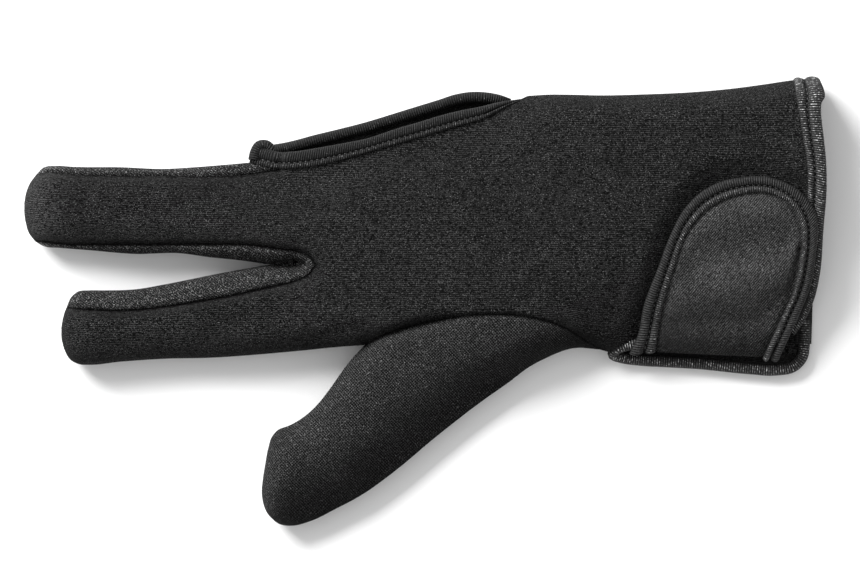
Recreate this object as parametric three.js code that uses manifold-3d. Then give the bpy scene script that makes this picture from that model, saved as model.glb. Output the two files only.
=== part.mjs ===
import * as THREE from "three";
import { mergeVertices } from "three/addons/utils/BufferGeometryUtils.js";
import Module from "manifold-3d";

const wasm = await Module();
wasm.setup();

// A three-finger heat resistant glove that lies flat, unworn. Lengths are in mm.
// X runs from the knuckles to the cuff, Y from the thumb to the ring finger, Z up.
// X = 0 and Y = 0 is the crotch between the two finger stalls.

// Driving sizes of the hand and the cuff
const handLength = 156.7; // crotch to the cuff's mouth
const handWidth = 77; // across the palm
const handHeight = 17.5; // thickness of the empty hand as it lies
const seamHeight = 6.5; // height of the side seams above the surface
const cloth = 1.6; // thickness of the knit cloth
const seamGap = 0.3; // clearance between sewn pieces

// Driving sizes of the finger stalls
const middleLength = 82.5;
const middleWidth = 26;
const indexLength = 71.2;
const indexWidth = 22;
const stallHeight = 14; // thickness of an empty finger stall
const stallSpread = 2.4; // space between the two stalls at the crotch

// Driving sizes of the thumb stall
const thumbLength = 84.7; // tip to the root inside the hand
const thumbWidth = 30;
const thumbHeight = 16.5;
const thumbTurn = 218.4; // degrees from X to the thumb's tip
const thumbReach = 56.8; // crotch to the middle of the thumb's root, along X
const thumbDrop = 17.3; // the same distance along Y, towards the thumb

// Driving sizes of the bindings and the closing tab
const rimRadius = 1.7; // half thickness of the rolled bindings
const cuffBandWidth = 9.5; // width of the cuff's beaded binding
const beadHeight = 1.2; // how far its beads stand proud of the cloth
const openingLength = 84; // ring and little finger opening, end to end along X
const slitLength = 64; // the cuff's slit, from its blind end to the cuff's mouth
const tabLength = 53.5; // root to rounded end
const tabWidth = 53.2;
const tabCloth = 1.8; // thickness of the tab
const tabBandWidth = 4.8; // width of the tab's binding
const tabBandHeight = 2.8; // thickness of the tab's binding
const tabPlace = 33.8; // middle of the tab's root, measured from the cuff's mouth

// Fineness of the surfaces and of the lines on the plan
const ringSteps = 18;
const tubeSides = 8;
const handSteps = 15;
const stallSteps = 11;
const thumbSteps = 13;
const bandSteps = 3;
const rimSteps = 18;
const slitSteps = 26;
const gussetLineSteps = 26;
const outerLineSteps = 10;
const thumbLineSteps = 18;
const openingLineSteps = 20;
const slitLineSteps = 10;
const tabLineSteps = 34;
const searchTurns = 24; // halvings with which a place along the hand is found

// How full a section is: its flat bottom, and the powers of its upper and lower rounds
const bottomFlatness = 1.15;
const crownPower = 2.4;
const underPower = 4;

// Sections of the middle finger stall. along is a share of its length from the crotch to the
// tip, outer and inner are shares of its width from its axis, low and high are shares of its height.
const middleRows = [
  { along: 1.0, outer: 0.17, inner: 0.02, low: 0.36, high: 0.6 },
  { along: 0.985, outer: 0.31, inner: -0.16, low: 0.22, high: 0.78 },
  { along: 0.956, outer: 0.46, inner: -0.31, low: 0.08, high: 0.92 },
  { along: 0.91, outer: 0.56, inner: -0.36, low: 0.0, high: 1.0 },
  { along: 0.81, outer: 0.55, inner: -0.375, low: 0.0, high: 1.04 },
  { along: 0.55, outer: 0.53, inner: -0.44, low: 0.0, high: 1.0 },
  { along: 0.38, outer: 0.54, inner: -0.455, low: 0.0, high: 1.02 },
  { along: 0.21, outer: 0.58, inner: -0.525, low: 0.0, high: 1.06 },
  { along: 0.0, outer: 0.6, inner: -0.56, low: 0.0, high: 1.1 },
  { along: -0.3, outer: 0.5, inner: -0.5, low: 0.0, high: 1.0 },
];

// Sections of the index finger stall, in the same columns. It leans away from the middle finger.
const indexRows = [
  { along: 1.0, outer: -0.44, inner: -0.22, low: 0.36, high: 0.6 },
  { along: 0.984, outer: -0.66, inner: -0.02, low: 0.2, high: 0.8 },
  { along: 0.945, outer: -0.8, inner: 0.13, low: 0.05, high: 0.94 },
  { along: 0.88, outer: -0.83, inner: 0.17, low: 0.0, high: 1.0 },
  { along: 0.755, outer: -0.79, inner: 0.165, low: 0.0, high: 1.03 },
  { along: 0.63, outer: -0.765, inner: 0.2, low: 0.0, high: 1.0 },
  { along: 0.44, outer: -0.735, inner: 0.335, low: 0.0, high: 1.03 },
  { along: 0.31, outer: -0.72, inner: 0.42, low: 0.0, high: 1.06 },
  { along: 0.0, outer: -0.62, inner: 0.54, low: 0.0, high: 1.08 },
  { along: -0.3, outer: -0.4, inner: 0.4, low: 0.0, high: 0.95 },
];

// Sections of the hand. The along columns are shares of its length at the ring finger's side and
// at the thumb's side, the side columns are shares of its width from the crotch, bow is a share of
// its width by which the section's middle runs ahead, and high is a share of its height.
const handRows = [
  { ringAlong: -0.092, ringSide: 0.443, thumbAlong: 0.057, thumbSide: -0.338, bow: 0, high: 0.82 },
  { ringAlong: -0.057, ringSide: 0.462, thumbAlong: 0.067, thumbSide: -0.334, bow: 0, high: 0.88 },
  { ringAlong: 0.0, ringSide: 0.478, thumbAlong: 0.086, thumbSide: -0.326, bow: 0, high: 0.93 },
  { ringAlong: 0.115, ringSide: 0.536, thumbAlong: 0.134, thumbSide: -0.322, bow: 0, high: 0.98 },
  { ringAlong: 0.229, ringSide: 0.602, thumbAlong: 0.229, thumbSide: -0.316, bow: 0, high: 1.0 },
  { ringAlong: 0.344, ringSide: 0.652, thumbAlong: 0.344, thumbSide: -0.316, bow: 0, high: 1.02 },
  { ringAlong: 0.458, ringSide: 0.648, thumbAlong: 0.458, thumbSide: -0.322, bow: 0, high: 1.0 },
  { ringAlong: 0.573, ringSide: 0.65, thumbAlong: 0.573, thumbSide: -0.334, bow: 0, high: 0.98 },
  { ringAlong: 0.64, ringSide: 0.65, thumbAlong: 0.62, thumbSide: -0.385, bow: 0, high: 1.0 },
  { ringAlong: 0.763, ringSide: 0.664, thumbAlong: 0.763, thumbSide: -0.41, bow: 0.005, high: 1.03 },
  { ringAlong: 0.859, ringSide: 0.683, thumbAlong: 0.857, thumbSide: -0.43, bow: 0.01, high: 1.07 },
  { ringAlong: 0.944, ringSide: 0.705, thumbAlong: 0.93, thumbSide: -0.43, bow: 0.02, high: 1.1 },
  { ringAlong: 1.0, ringSide: 0.71, thumbAlong: 0.97, thumbSide: -0.39, bow: 0.04, high: 1.1 },
];

// Sections of the thumb stall, from its tip to inside the hand. The along columns are shares of
// its length from the middle of its seam, the side columns are shares of its width from its axis.
const thumbRows = [
  { fingerAlong: 0.955, fingerSide: 0.23, cuffAlong: 1.02, cuffSide: -0.06, low: 0.34, high: 0.62 },
  { fingerAlong: 0.91, fingerSide: 0.36, cuffAlong: 1.035, cuffSide: -0.18, low: 0.12, high: 0.86 },
  { fingerAlong: 0.865, fingerSide: 0.455, cuffAlong: 1.02, cuffSide: -0.33, low: 0.0, high: 1.0 },
  { fingerAlong: 0.81, fingerSide: 0.44, cuffAlong: 0.96, cuffSide: -0.45, low: 0.0, high: 1.04 },
  { fingerAlong: 0.71, fingerSide: 0.43, cuffAlong: 0.805, cuffSide: -0.54, low: 0.0, high: 1.0 },
  { fingerAlong: 0.61, fingerSide: 0.46, cuffAlong: 0.635, cuffSide: -0.575, low: 0.0, high: 1.0 },
  { fingerAlong: 0.505, fingerSide: 0.535, cuffAlong: 0.44, cuffSide: -0.575, low: 0.0, high: 1.02 },
  { fingerAlong: 0.41, fingerSide: 0.59, cuffAlong: 0.24, cuffSide: -0.57, low: 0.0, high: 1.02 },
  { fingerAlong: 0.265, fingerSide: 0.575, cuffAlong: 0.03, cuffSide: -0.575, low: 0.0, high: 1.02 },
  { fingerAlong: 0.095, fingerSide: 0.465, cuffAlong: -0.14, cuffSide: -0.65, low: 0.0, high: 1.0 },
  { fingerAlong: -0.12, fingerSide: 0.27, cuffAlong: -0.28, cuffSide: -0.72, low: 0.0, high: 0.9 },
];

// Outline of the closing tab. across is a share of its width from the middle of its root,
// up is a share of its length.
const tabRows = [
  { across: -0.39, up: 0.0 },
  { across: -0.38, up: 0.22 },
  { across: -0.3, up: 0.43 },
  { across: -0.21, up: 0.68 },
  { across: -0.145, up: 0.815 },
  { across: -0.05, up: 0.915 },
  { across: 0.06, up: 0.975 },
  { across: 0.18, up: 1.0 },
  { across: 0.3, up: 0.995 },
  { across: 0.45, up: 0.95 },
  { across: 0.54, up: 0.88 },
  { across: 0.595, up: 0.775 },
  { across: 0.607, up: 0.7 },
  { across: 0.585, up: 0.575 },
  { across: 0.556, up: 0.41 },
  { across: 0.5, up: 0.24 },
  { across: 0.45, up: 0.11 },
  { across: 0.39, up: 0.0 },
];

// Seam of the gusset between the fingers, on the middle finger. along is a share of the stall's
// length, inside is a share of its width from its axis.
const middleSeamRows = [
  { along: 0.96, inside: -0.3 },
  { along: 0.85, inside: -0.335 },
  { along: 0.5, inside: -0.345 },
  { along: 0.17, inside: -0.36 },
  { along: 0.01, inside: -0.43 },
];

// The same seam on the index finger, from the crotch to the tip.
const indexSeamRows = [
  { along: -0.02, inside: 0.35 },
  { along: 0.13, inside: 0.2 },
  { along: 0.42, inside: 0.01 },
  { along: 0.72, inside: -0.11 },
  { along: 0.97, inside: -0.1 },
];

// Seam of the strip on the outer side of the middle finger, from the tip to the opening.
const outerSeamRows = [
  { along: 0.91, inside: 0.49 },
  { along: 0.71, inside: 0.43 },
  { along: 0.31, inside: 0.43 },
  { along: 0.18, inside: 0.47 },
];

// Seam of the thumb on the hand. along is a share of the hand's length, side of its width.
const thumbSeamRows = [
  { along: 0.12, side: -0.326 },
  { along: 0.162, side: -0.283 },
  { along: 0.248, side: -0.233 },
  { along: 0.344, side: -0.206 },
  { along: 0.42, side: -0.21 },
  { along: 0.496, side: -0.249 },
  { along: 0.575, side: -0.335 },
];

// Corner between the index finger stall and the thumb stall, in the same shares
const thumbCorner = { along: -0.115, side: -0.54 };

// Rims of the ring and little finger opening. along is a share of the opening's length from its
// end at the middle finger, back and palm are shares of the hand's width at each rim.
const openingRows = [
  { along: 0.0, back: 0.385, palm: 0.42 },
  { along: 0.1, back: 0.388, palm: 0.435 },
  { along: 0.24, back: 0.405, palm: 0.478 },
  { along: 0.38, back: 0.435, palm: 0.52 },
  { along: 0.59, back: 0.51, palm: 0.585 },
  { along: 0.8, back: 0.583, palm: 0.63 },
  { along: 0.93, back: 0.618, palm: 0.628 },
  { along: 1.0, back: 0.63, palm: 0.618 },
];

// Edge of the under panel along the slit. along is a share of the slit's length from its blind
// end, side is a share of the hand's width.
const underSlitRows = [
  { along: 0.05, side: -0.35 },
  { along: 0.16, side: -0.372 },
  { along: 0.3, side: -0.381 },
  { along: 0.5, side: -0.39 },
  { along: 0.7, side: -0.402 },
  { along: 0.82, side: -0.406 },
];

// The two beads of the cuff's binding. along is a share of its width, swell of a bead's height.
const bandRows = [
  { along: 0.0, swell: 0.1 },
  { along: 0.07, swell: 0.75 },
  { along: 0.19, swell: 0.85 },
  { along: 0.28, swell: 0.1 },
  { along: 0.4, swell: 0.85 },
  { along: 0.65, swell: 1.0 },
  { along: 0.9, swell: 0.8 },
  { along: 1.0, swell: 0.1 },
];

// Where the opening and the slit begin
const openingSetBack = 0.085; // share of the hand's length from the opening's end to the crotch
const slitEdgeSide = -0.303; // the slit's upper edge, a share of the hand's width from the crotch

// Directions and places that follow from the sizes
const middleAxis = stallSpread / 2 + middleWidth / 2;
const indexAxis = -stallSpread / 2 - indexWidth / 2;
const thumbRoot = new THREE.Vector2(thumbReach, -thumbDrop);
const thumbLean = THREE.MathUtils.degToRad(thumbTurn);
const openingStart = -openingSetBack * handLength;
const slitStart = handLength - slitLength;
const upperSlitSide = slitEdgeSide * handWidth;
const tabLift = beadHeight + seamGap;
const tabRootOuter = upperSlitSide - rimRadius - seamGap - tabCloth;
const tabRootLow = 2 * cloth;
const pastRoot = tabLength / 4; // how far the tab's outline runs on past its root
const farAway = handLength + handWidth;
const tallest = handHeight * 3;

// Points of a table turned into plan coordinates
const onStall = (length, axis, width) => (along, side) =>
  new THREE.Vector2(-along * length, axis + side * width);
const onMiddle = onStall(middleLength, middleAxis, middleWidth);
const onIndex = onStall(indexLength, indexAxis, indexWidth);
const onHand = (along, side) => new THREE.Vector2(along * handLength, side * handWidth);
const onThumb = (along, side) => new THREE.Vector2(along * thumbLength, -side * thumbWidth)
  .rotateAround(new THREE.Vector2(), thumbLean)
  .add(thumbRoot);

// A form is three smooth rails: its two side edges in plan, and its low, high and bow along them.
function makeForm(sections) {
  const rail = (pick) => new THREE.CatmullRomCurve3(sections.map(pick));
  return {
    left: rail((s) => new THREE.Vector3(s.left.x, s.left.y, 0)),
    right: rail((s) => new THREE.Vector3(s.right.x, s.right.y, 0)),
    size: rail((s) => new THREE.Vector3(s.low, s.high, s.bow)),
  };
}

const middleForm = makeForm(middleRows.map((row) => ({
  left: onMiddle(row.along, row.outer),
  right: onMiddle(row.along, row.inner),
  low: row.low * stallHeight,
  high: row.high * stallHeight,
  bow: 0,
})));

const indexForm = makeForm(indexRows.map((row) => ({
  left: onIndex(row.along, row.inner),
  right: onIndex(row.along, row.outer),
  low: row.low * stallHeight,
  high: row.high * stallHeight,
  bow: 0,
})));

const handForm = makeForm(handRows.map((row) => ({
  left: onHand(row.ringAlong, row.ringSide),
  right: onHand(row.thumbAlong, row.thumbSide),
  low: 0,
  high: row.high * handHeight,
  bow: row.bow * handWidth,
})));

const thumbForm = makeForm(thumbRows.map((row) => ({
  left: onThumb(row.fingerAlong, row.fingerSide),
  right: onThumb(row.cuffAlong, row.cuffSide),
  low: row.low * thumbHeight,
  high: row.high * thumbHeight,
  bow: 0,
})));

// The frame of one section: its middle, its direction across, its direction of travel, its half
// width and its heights, drawn in by inset.
function sectionAt(form, share, inset) {
  const left = form.left.getPoint(share);
  const right = form.right.getPoint(share);
  const size = form.size.getPoint(share);
  const across = right.clone().sub(left);
  const half = Math.max(across.length() / 2 - inset, cloth / 4);
  across.normalize();
  const low = Math.min(Math.max(size.x, 0) + inset, seamHeight - cloth / 4);
  const high = Math.max(size.y - inset, seamHeight + cloth / 4);
  return {
    middle: left.add(right).multiplyScalar(0.5),
    across,
    travel: new THREE.Vector3(-across.y, across.x, 0),
    half,
    low,
    high,
    bow: size.z,
  };
}

// Height of a section's upper face at a place across it, which runs from -1 to 1.
function crownAt(section, place) {
  const rise = (1 - Math.abs(place) ** crownPower) ** (1 / crownPower);
  return seamHeight + (section.high - seamHeight) * rise;
}

// A closed ring round a section: a crowned upper half and a lower half with a flat bottom.
function ringAt(form, share, inset, push) {
  const section = sectionAt(form, share, inset);
  const ring = [];
  for (let step = 0; step < ringSteps; step += 1) {
    const angle = (step / ringSteps) * Math.PI * 2;
    const power = Math.sin(angle) >= 0 ? crownPower : underPower;
    const place = Math.sign(Math.cos(angle)) * Math.abs(Math.cos(angle)) ** (2 / power);
    const lift = Math.abs(Math.sin(angle)) ** (2 / power);
    const height = Math.sin(angle) >= 0
      ? seamHeight + (section.high - seamHeight) * lift
      : seamHeight - (seamHeight - section.low) * Math.min(1, bottomFlatness * lift);
    const point = section.middle.clone();
    point.addScaledVector(section.across, place * section.half);
    point.addScaledVector(section.travel, section.bow * (1 - place * place) + push);
    point.z = height;
    ring.push(point);
  }
  return ring;
}

// A closed mesh through a row of rings with the same number of points, with flat ends.
function skin(rings) {
  const count = rings[0].length;
  const points = rings.flat();
  const index = [];
  for (let ring = 0; ring + 1 < rings.length; ring += 1) {
    for (let step = 0; step < count; step += 1) {
      const next = (step + 1) % count;
      const here = ring * count;
      const ahead = here + count;
      index.push(here + step, ahead + next, here + next, here + step, ahead + step, ahead + next);
    }
  }
  for (const ring of [0, rings.length - 1]) {
    const centre = points.length;
    points.push(rings[ring].reduce((sum, point) => sum.add(point), new THREE.Vector3()).divideScalar(count));
    for (let step = 0; step < count; step += 1) {
      const next = (step + 1) % count;
      const start = ring * count;
      if (ring === 0) index.push(centre, start + step, start + next);
      else index.push(centre, start + next, start + step);
    }
  }
  const geometry = new THREE.BufferGeometry().setFromPoints(points);
  geometry.setIndex(index);
  return geometry;
}

// Solids for joining and cutting
function toSolid(geometry) {
  const bare = geometry.clone();
  bare.deleteAttribute("normal");
  bare.deleteAttribute("uv");
  const merged = mergeVertices(bare, 1e-4);
  const solid = new wasm.Manifold(new wasm.Mesh({
    numProp: 3,
    vertProperties: new Float32Array(merged.attributes.position.array),
    triVerts: new Uint32Array(merged.index.array),
  }));
  return solid;
}

function toGeometry(solid) {
  const mesh = solid.getMesh();
  const geometry = new THREE.BufferGeometry();
  geometry.setAttribute("position", new THREE.BufferAttribute(new Float32Array(mesh.vertProperties), 3));
  geometry.setIndex(new THREE.BufferAttribute(new Uint32Array(mesh.triVerts), 1));
  geometry.computeVertexNormals();
  return geometry;
}

// A form's solid between two shares of its rails. tipPush moves its first section along the
// form, endPush its last one.
function formSolid(form, steps, inset, tipPush = 0, endPush = 0, from = 0, to = 1) {
  const rings = [];
  for (let step = 0; step <= steps; step += 1) {
    const part = step / steps;
    const push = tipPush * (1 - part) ** 3 + (step === steps ? endPush : 0);
    rings.push(ringAt(form, THREE.MathUtils.lerp(from, to, part), inset, push));
  }
  return toSolid(skin(rings));
}

// An upright prism over a closed plan outline.
function prism(outline, low, high) {
  const shape = new THREE.Shape(outline);
  const geometry = new THREE.ExtrudeGeometry(shape, { depth: high - low, bevelEnabled: false });
  geometry.translate(0, 0, low);
  return toSolid(geometry);
}

// A round tube with flat ends along a curve.
function tube(curve, radius, steps) {
  const section = new THREE.Shape().absarc(0, 0, radius, 0, Math.PI * 2);
  const geometry = new THREE.ExtrudeGeometry(section, {
    steps,
    curveSegments: tubeSides,
    extrudePath: curve,
    bevelEnabled: false,
  });
  return toSolid(geometry);
}

// A plan outline moved outwards by a distance, or inwards if it is negative.
function grown(outline, distance) {
  const turn = THREE.ShapeUtils.isClockWise(outline) ? -1 : 1;
  return outline.map((point, i) => {
    const before = outline[(i + outline.length - 1) % outline.length];
    const after = outline[(i + 1) % outline.length];
    const along = after.clone().sub(before).normalize();
    return point.clone().add(new THREE.Vector2(along.y, -along.x).multiplyScalar(distance * turn));
  });
}

const smoothLine = (points, divisions) => new THREE.SplineCurve(points).getPoints(divisions);

// The section of the hand that passes over a plan point, and the point's place across it.
function handPlace(point) {
  let before = 0;
  let after = 1;
  for (let turn = 0; turn < searchTurns; turn += 1) {
    const share = (before + after) / 2;
    const section = sectionAt(handForm, share, 0);
    const ahead = new THREE.Vector3(point.x, point.y, 0).sub(section.middle).dot(section.travel);
    if (ahead > 0) before = share;
    else after = share;
  }
  const section = sectionAt(handForm, before, 0);
  const sideways = new THREE.Vector3(point.x, point.y, 0).sub(section.middle).dot(section.across);
  return { section, place: THREE.MathUtils.clamp(sideways / section.half, -1, 1) };
}

// Middle of the cloth above a plan point, on the hand's back or on its palm.
function backPoint(point) {
  const { section, place } = handPlace(point);
  return new THREE.Vector3(point.x, point.y, crownAt(section, place) - cloth / 2);
}

function palmPoint(point) {
  const { section, place } = handPlace(point);
  const lift = (1 - Math.abs(place) ** underPower) ** (1 / underPower);
  const height = seamHeight * (1 - Math.min(1, bottomFlatness * lift));
  return new THREE.Vector3(point.x, point.y, Math.max(height + cloth / 2, rimRadius));
}

// The share of the hand's rails at which its middle passes a place along X.
function shareAlongHand(x) {
  let before = 0;
  let after = 1;
  for (let turn = 0; turn < searchTurns; turn += 1) {
    const share = (before + after) / 2;
    if (sectionAt(handForm, share, 0).middle.x < x) before = share;
    else after = share;
  }
  return before;
}

// Outer and inner forms of the whole glove
const outerForm = formSolid(handForm, handSteps, 0)
  .add(formSolid(middleForm, stallSteps, 0))
  .add(formSolid(indexForm, stallSteps, 0))
  .add(formSolid(thumbForm, thumbSteps, 0));
const innerForm = formSolid(handForm, handSteps, cloth, cloth, cuffBandWidth)
  .add(formSolid(middleForm, stallSteps, cloth, cloth))
  .add(formSolid(indexForm, stallSteps, cloth, cloth))
  .add(formSolid(thumbForm, thumbSteps, cloth, cloth));
const shell = outerForm.subtract(innerForm);

// The two halves of space above and below the side seams
const everywhere = [
  new THREE.Vector2(-farAway, -farAway),
  new THREE.Vector2(farAway, -farAway),
  new THREE.Vector2(farAway, farAway),
  new THREE.Vector2(-farAway, farAway),
];
const upperHalf = prism(everywhere, seamHeight + seamGap / 2, tallest);
const lowerHalf = prism(everywhere, -tallest, seamHeight - seamGap / 2);
const aboveSurface = prism(everywhere, 0, tallest);
const throughout = (outline) => prism(outline, -tallest, tallest);

// Plan outlines of the sewn-in pieces
const gussetOutline = smoothLine([
  ...middleSeamRows.map((row) => onMiddle(row.along, row.inside)),
  ...indexSeamRows.map((row) => onIndex(row.along, row.inside)),
], gussetLineSteps);

const outerSeam = smoothLine(outerSeamRows.map((row) => onMiddle(row.along, row.inside)), outerLineSteps);
const outerGussetOutline = [
  ...outerSeam,
  new THREE.Vector2(outerSeam[outerSeam.length - 1].x, middleAxis + middleWidth),
  new THREE.Vector2(outerSeam[0].x, middleAxis + middleWidth),
];

const thumbSeam = smoothLine(thumbSeamRows.map((row) => onHand(row.along, row.side)), thumbLineSteps);
const thumbOutline = [
  ...thumbSeam,
  new THREE.Vector2(thumbSeam[thumbSeam.length - 1].x, -farAway),
  new THREE.Vector2(-indexLength, -farAway),
  onHand(thumbCorner.along, thumbCorner.side),
];

// Rims of the ring and little finger opening
const onOpening = (row, side) =>
  new THREE.Vector2(openingStart + row.along * openingLength, side * handWidth);
const backRimLine = smoothLine(openingRows.map((row) => onOpening(row, row.back)), openingLineSteps);
const palmRimLine = smoothLine(openingRows.map((row) => onOpening(row, row.palm)), openingLineSteps);
const moved = (line, shift) => line.map((point) => new THREE.Vector2(point.x, point.y + shift));
const beyondRim = (line) => [
  ...line,
  new THREE.Vector2(line[line.length - 1].x, farAway),
  new THREE.Vector2(line[0].x - cloth, farAway),
  new THREE.Vector2(line[0].x - cloth, line[0].y - rimRadius),
  new THREE.Vector2(line[0].x + seamGap, line[0].y - rimRadius),
];
const backRimCurve = new THREE.CatmullRomCurve3(backRimLine.map(backPoint));
const palmRimCurve = new THREE.CatmullRomCurve3(palmRimLine.map(palmPoint));

// Edges of the slit at the thumb's side of the cuff
const onUnderSlit = (row) =>
  new THREE.Vector2(slitStart + row.along * slitLength, row.side * handWidth);
const underSlitLine = smoothLine(underSlitRows.map(onUnderSlit), slitLineSteps);
const upperSlitLine = underSlitLine.map((point) => new THREE.Vector2(point.x, upperSlitSide));
const slitTurn = new THREE.Vector3(
  slitStart,
  (underSlitLine[0].y + upperSlitSide) / 2,
  seamHeight + rimRadius,
);
const slitCurve = new THREE.CatmullRomCurve3([
  ...upperSlitLine.map(backPoint).reverse(),
  slitTurn,
  ...underSlitLine.map(palmPoint),
]);
const beyondUpperSlit = [
  new THREE.Vector2(slitStart, upperSlitSide),
  new THREE.Vector2(farAway, upperSlitSide),
  new THREE.Vector2(farAway, -farAway),
  new THREE.Vector2(slitStart, -farAway),
];
const beyondUnderSlit = (line) => [
  new THREE.Vector2(slitStart, line[0].y),
  ...line,
  new THREE.Vector2(farAway, line[line.length - 1].y),
  new THREE.Vector2(farAway, -farAway),
  new THREE.Vector2(slitStart, -farAway),
];
// Space above the under panel's rolled edges, where only the rolls themselves stand
const rollRoom = rimRadius + seamGap;
const overRolls = prism(beyondRim(moved(palmRimLine, -rollRoom)), rimRadius, tallest)
  .add(prism(beyondUnderSlit(moved(underSlitLine, rollRoom)), rimRadius, tallest));

// The cuff's binding: a two-bead band that takes the last stretch of the hand
const mouthMiddle = sectionAt(handForm, 1, 0).middle.x;
const bandStart = shareAlongHand(mouthMiddle - cuffBandWidth);
const bandRoom = shareAlongHand(mouthMiddle - cuffBandWidth - seamGap);
const bandBody = toSolid(skin(bandRows.map((row) =>
  ringAt(handForm, THREE.MathUtils.lerp(bandStart, 1, row.along), -row.swell * beadHeight, 0))));
const bandZone = formSolid(handForm, bandSteps, -tabLift, 0, cuffBandWidth, bandRoom, 1);

// The closing tab's outline, carried on past its root so that only its free edge is bound
const onTab = (row) => new THREE.Vector2(
  handLength - tabPlace + row.across * tabWidth,
  tabRootOuter + row.up * tabLength,
);
const tabEdge = smoothLine(tabRows.map(onTab), tabLineSteps);
const tabOutline = [
  new THREE.Vector2(tabEdge[0].x, tabRootOuter - pastRoot),
  ...tabEdge,
  new THREE.Vector2(tabEdge[tabEdge.length - 1].x, tabRootOuter - pastRoot),
];
const pastTabRoot = prism([
  new THREE.Vector2(-farAway, -farAway),
  new THREE.Vector2(farAway, -farAway),
  new THREE.Vector2(farAway, tabRootOuter),
  new THREE.Vector2(-farAway, tabRootOuter),
], -tallest, tallest);
const tabSeat = formSolid(handForm, handSteps, -tabLift, 0, cuffBandWidth);

// Panels
function backPanel() {
  return shell
    .intersect(upperHalf)
    .subtract(throughout(grown(gussetOutline, seamGap)))
    .subtract(throughout(grown(outerGussetOutline, seamGap)))
    .subtract(throughout(grown(thumbOutline, seamGap)))
    .subtract(throughout(beyondRim(backRimLine)))
    .subtract(throughout(beyondUpperSlit))
    .subtract(tube(backRimCurve, rimRadius + seamGap, rimSteps))
    .subtract(tube(slitCurve, rimRadius + seamGap, slitSteps))
    .subtract(bandZone);
}

function palmPanel() {
  return shell
    .intersect(lowerHalf)
    .subtract(throughout(grown(gussetOutline, seamGap)))
    .subtract(throughout(grown(outerGussetOutline, seamGap)))
    .subtract(throughout(grown(thumbOutline, seamGap)))
    .subtract(throughout(beyondRim(palmRimLine)))
    .subtract(throughout(beyondUnderSlit(underSlitLine)))
    .subtract(overRolls)
    .subtract(tube(palmRimCurve, rimRadius + seamGap, rimSteps))
    .subtract(tube(slitCurve, rimRadius + seamGap, slitSteps))
    .subtract(bandZone);
}

// Sewn-in pieces
const fingerGusset = () => shell.intersect(throughout(gussetOutline));
const outerGusset = () => shell.intersect(throughout(outerGussetOutline));
const thumbStall = () => shell.intersect(throughout(thumbOutline));

// Bindings
const backRimBinding = () => tube(backRimCurve, rimRadius, rimSteps);
const palmRimBinding = () => tube(palmRimCurve, rimRadius, rimSteps);
const slitBinding = () => tube(slitCurve, rimRadius, slitSteps);
const cuffBinding = () => bandBody
  .intersect(aboveSurface)
  .subtract(innerForm)
  .subtract(upperHalf.intersect(throughout(beyondUpperSlit)))
  .subtract(tube(slitCurve, rimRadius + seamGap, slitSteps));

// The tab's cloth and the strip that carries it down to the under panel
function tabSheet() {
  const inside = throughout(grown(tabOutline, -tabBandWidth)).subtract(pastTabRoot);
  const top = formSolid(handForm, handSteps, -tabLift - tabCloth, 0, cuffBandWidth);
  const sheet = top.subtract(tabSeat).intersect(upperHalf).intersect(inside);
  const rootHalf = (tabEdge[tabEdge.length - 1].x - tabEdge[0].x) / 2 - tabBandWidth;
  const rootMiddle = handLength - tabPlace;
  const root = prism([
    new THREE.Vector2(rootMiddle - rootHalf, tabRootOuter),
    new THREE.Vector2(rootMiddle + rootHalf, tabRootOuter),
    new THREE.Vector2(rootMiddle + rootHalf, tabRootOuter + tabCloth),
    new THREE.Vector2(rootMiddle - rootHalf, tabRootOuter + tabCloth),
  ], tabRootLow, tallest).intersect(top);
  return sheet.add(root);
}

function tabBinding() {
  const top = formSolid(handForm, handSteps, -tabLift - tabBandHeight, 0, cuffBandWidth);
  return top
    .subtract(tabSeat)
    .intersect(upperHalf)
    .intersect(throughout(tabOutline))
    .subtract(throughout(grown(tabOutline, seamGap - tabBandWidth)))
    .subtract(pastTabRoot);
}

// Cloths of the glove
const knit = new THREE.MeshStandardMaterial({ color: 0x232324, roughness: 0.9, metalness: 0 });
const stretchKnit = new THREE.MeshStandardMaterial({ color: 0x37373a, roughness: 0.75, metalness: 0 });
const ribbedBinding = new THREE.MeshStandardMaterial({ color: 0x29292b, roughness: 0.8, metalness: 0 });
const tabWeave = new THREE.MeshStandardMaterial({ color: 0x303032, roughness: 0.8, metalness: 0 });

const pieces = [
  { name: "back_panel", solid: backPanel(), material: knit },
  { name: "palm_panel", solid: palmPanel(), material: knit },
  { name: "finger_gusset", solid: fingerGusset(), material: stretchKnit },
  { name: "outer_gusset", solid: outerGusset(), material: stretchKnit },
  { name: "thumb", solid: thumbStall(), material: knit },
  { name: "opening_binding_back", solid: backRimBinding(), material: ribbedBinding },
  { name: "opening_binding_palm", solid: palmRimBinding(), material: ribbedBinding },
  { name: "cuff_binding", solid: cuffBinding(), material: ribbedBinding },
  { name: "slit_binding", solid: slitBinding(), material: ribbedBinding },
  { name: "strap", solid: tabSheet(), material: tabWeave },
  { name: "strap_binding", solid: tabBinding(), material: ribbedBinding },
];

// The finished glove rests on the surface with the middle of its outline over the origin.
const glove = new THREE.Group();
for (const piece of pieces) {
  const mesh = new THREE.Mesh(toGeometry(piece.solid), piece.material.clone());
  mesh.name = piece.name;
  glove.add(mesh);
}
const outline = new THREE.Box3().setFromObject(glove);
const middle = outline.getCenter(new THREE.Vector3());
glove.position.set(-middle.x, -middle.y, -outline.min.z);
glove.updateMatrixWorld(true);

export default glove;
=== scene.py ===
"""Looks of a three-finger heat resistant styling glove that lies flat and empty, cuff to the right.

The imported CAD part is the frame. Each of its nodes is replaced by a finer sewn piece: knit panels,
side strips, a thumb on the bias, ribbed bindings and a closing tab, all worked out with numpy from a
few lines drawn on the glove's plan.
"""

import math

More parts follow.
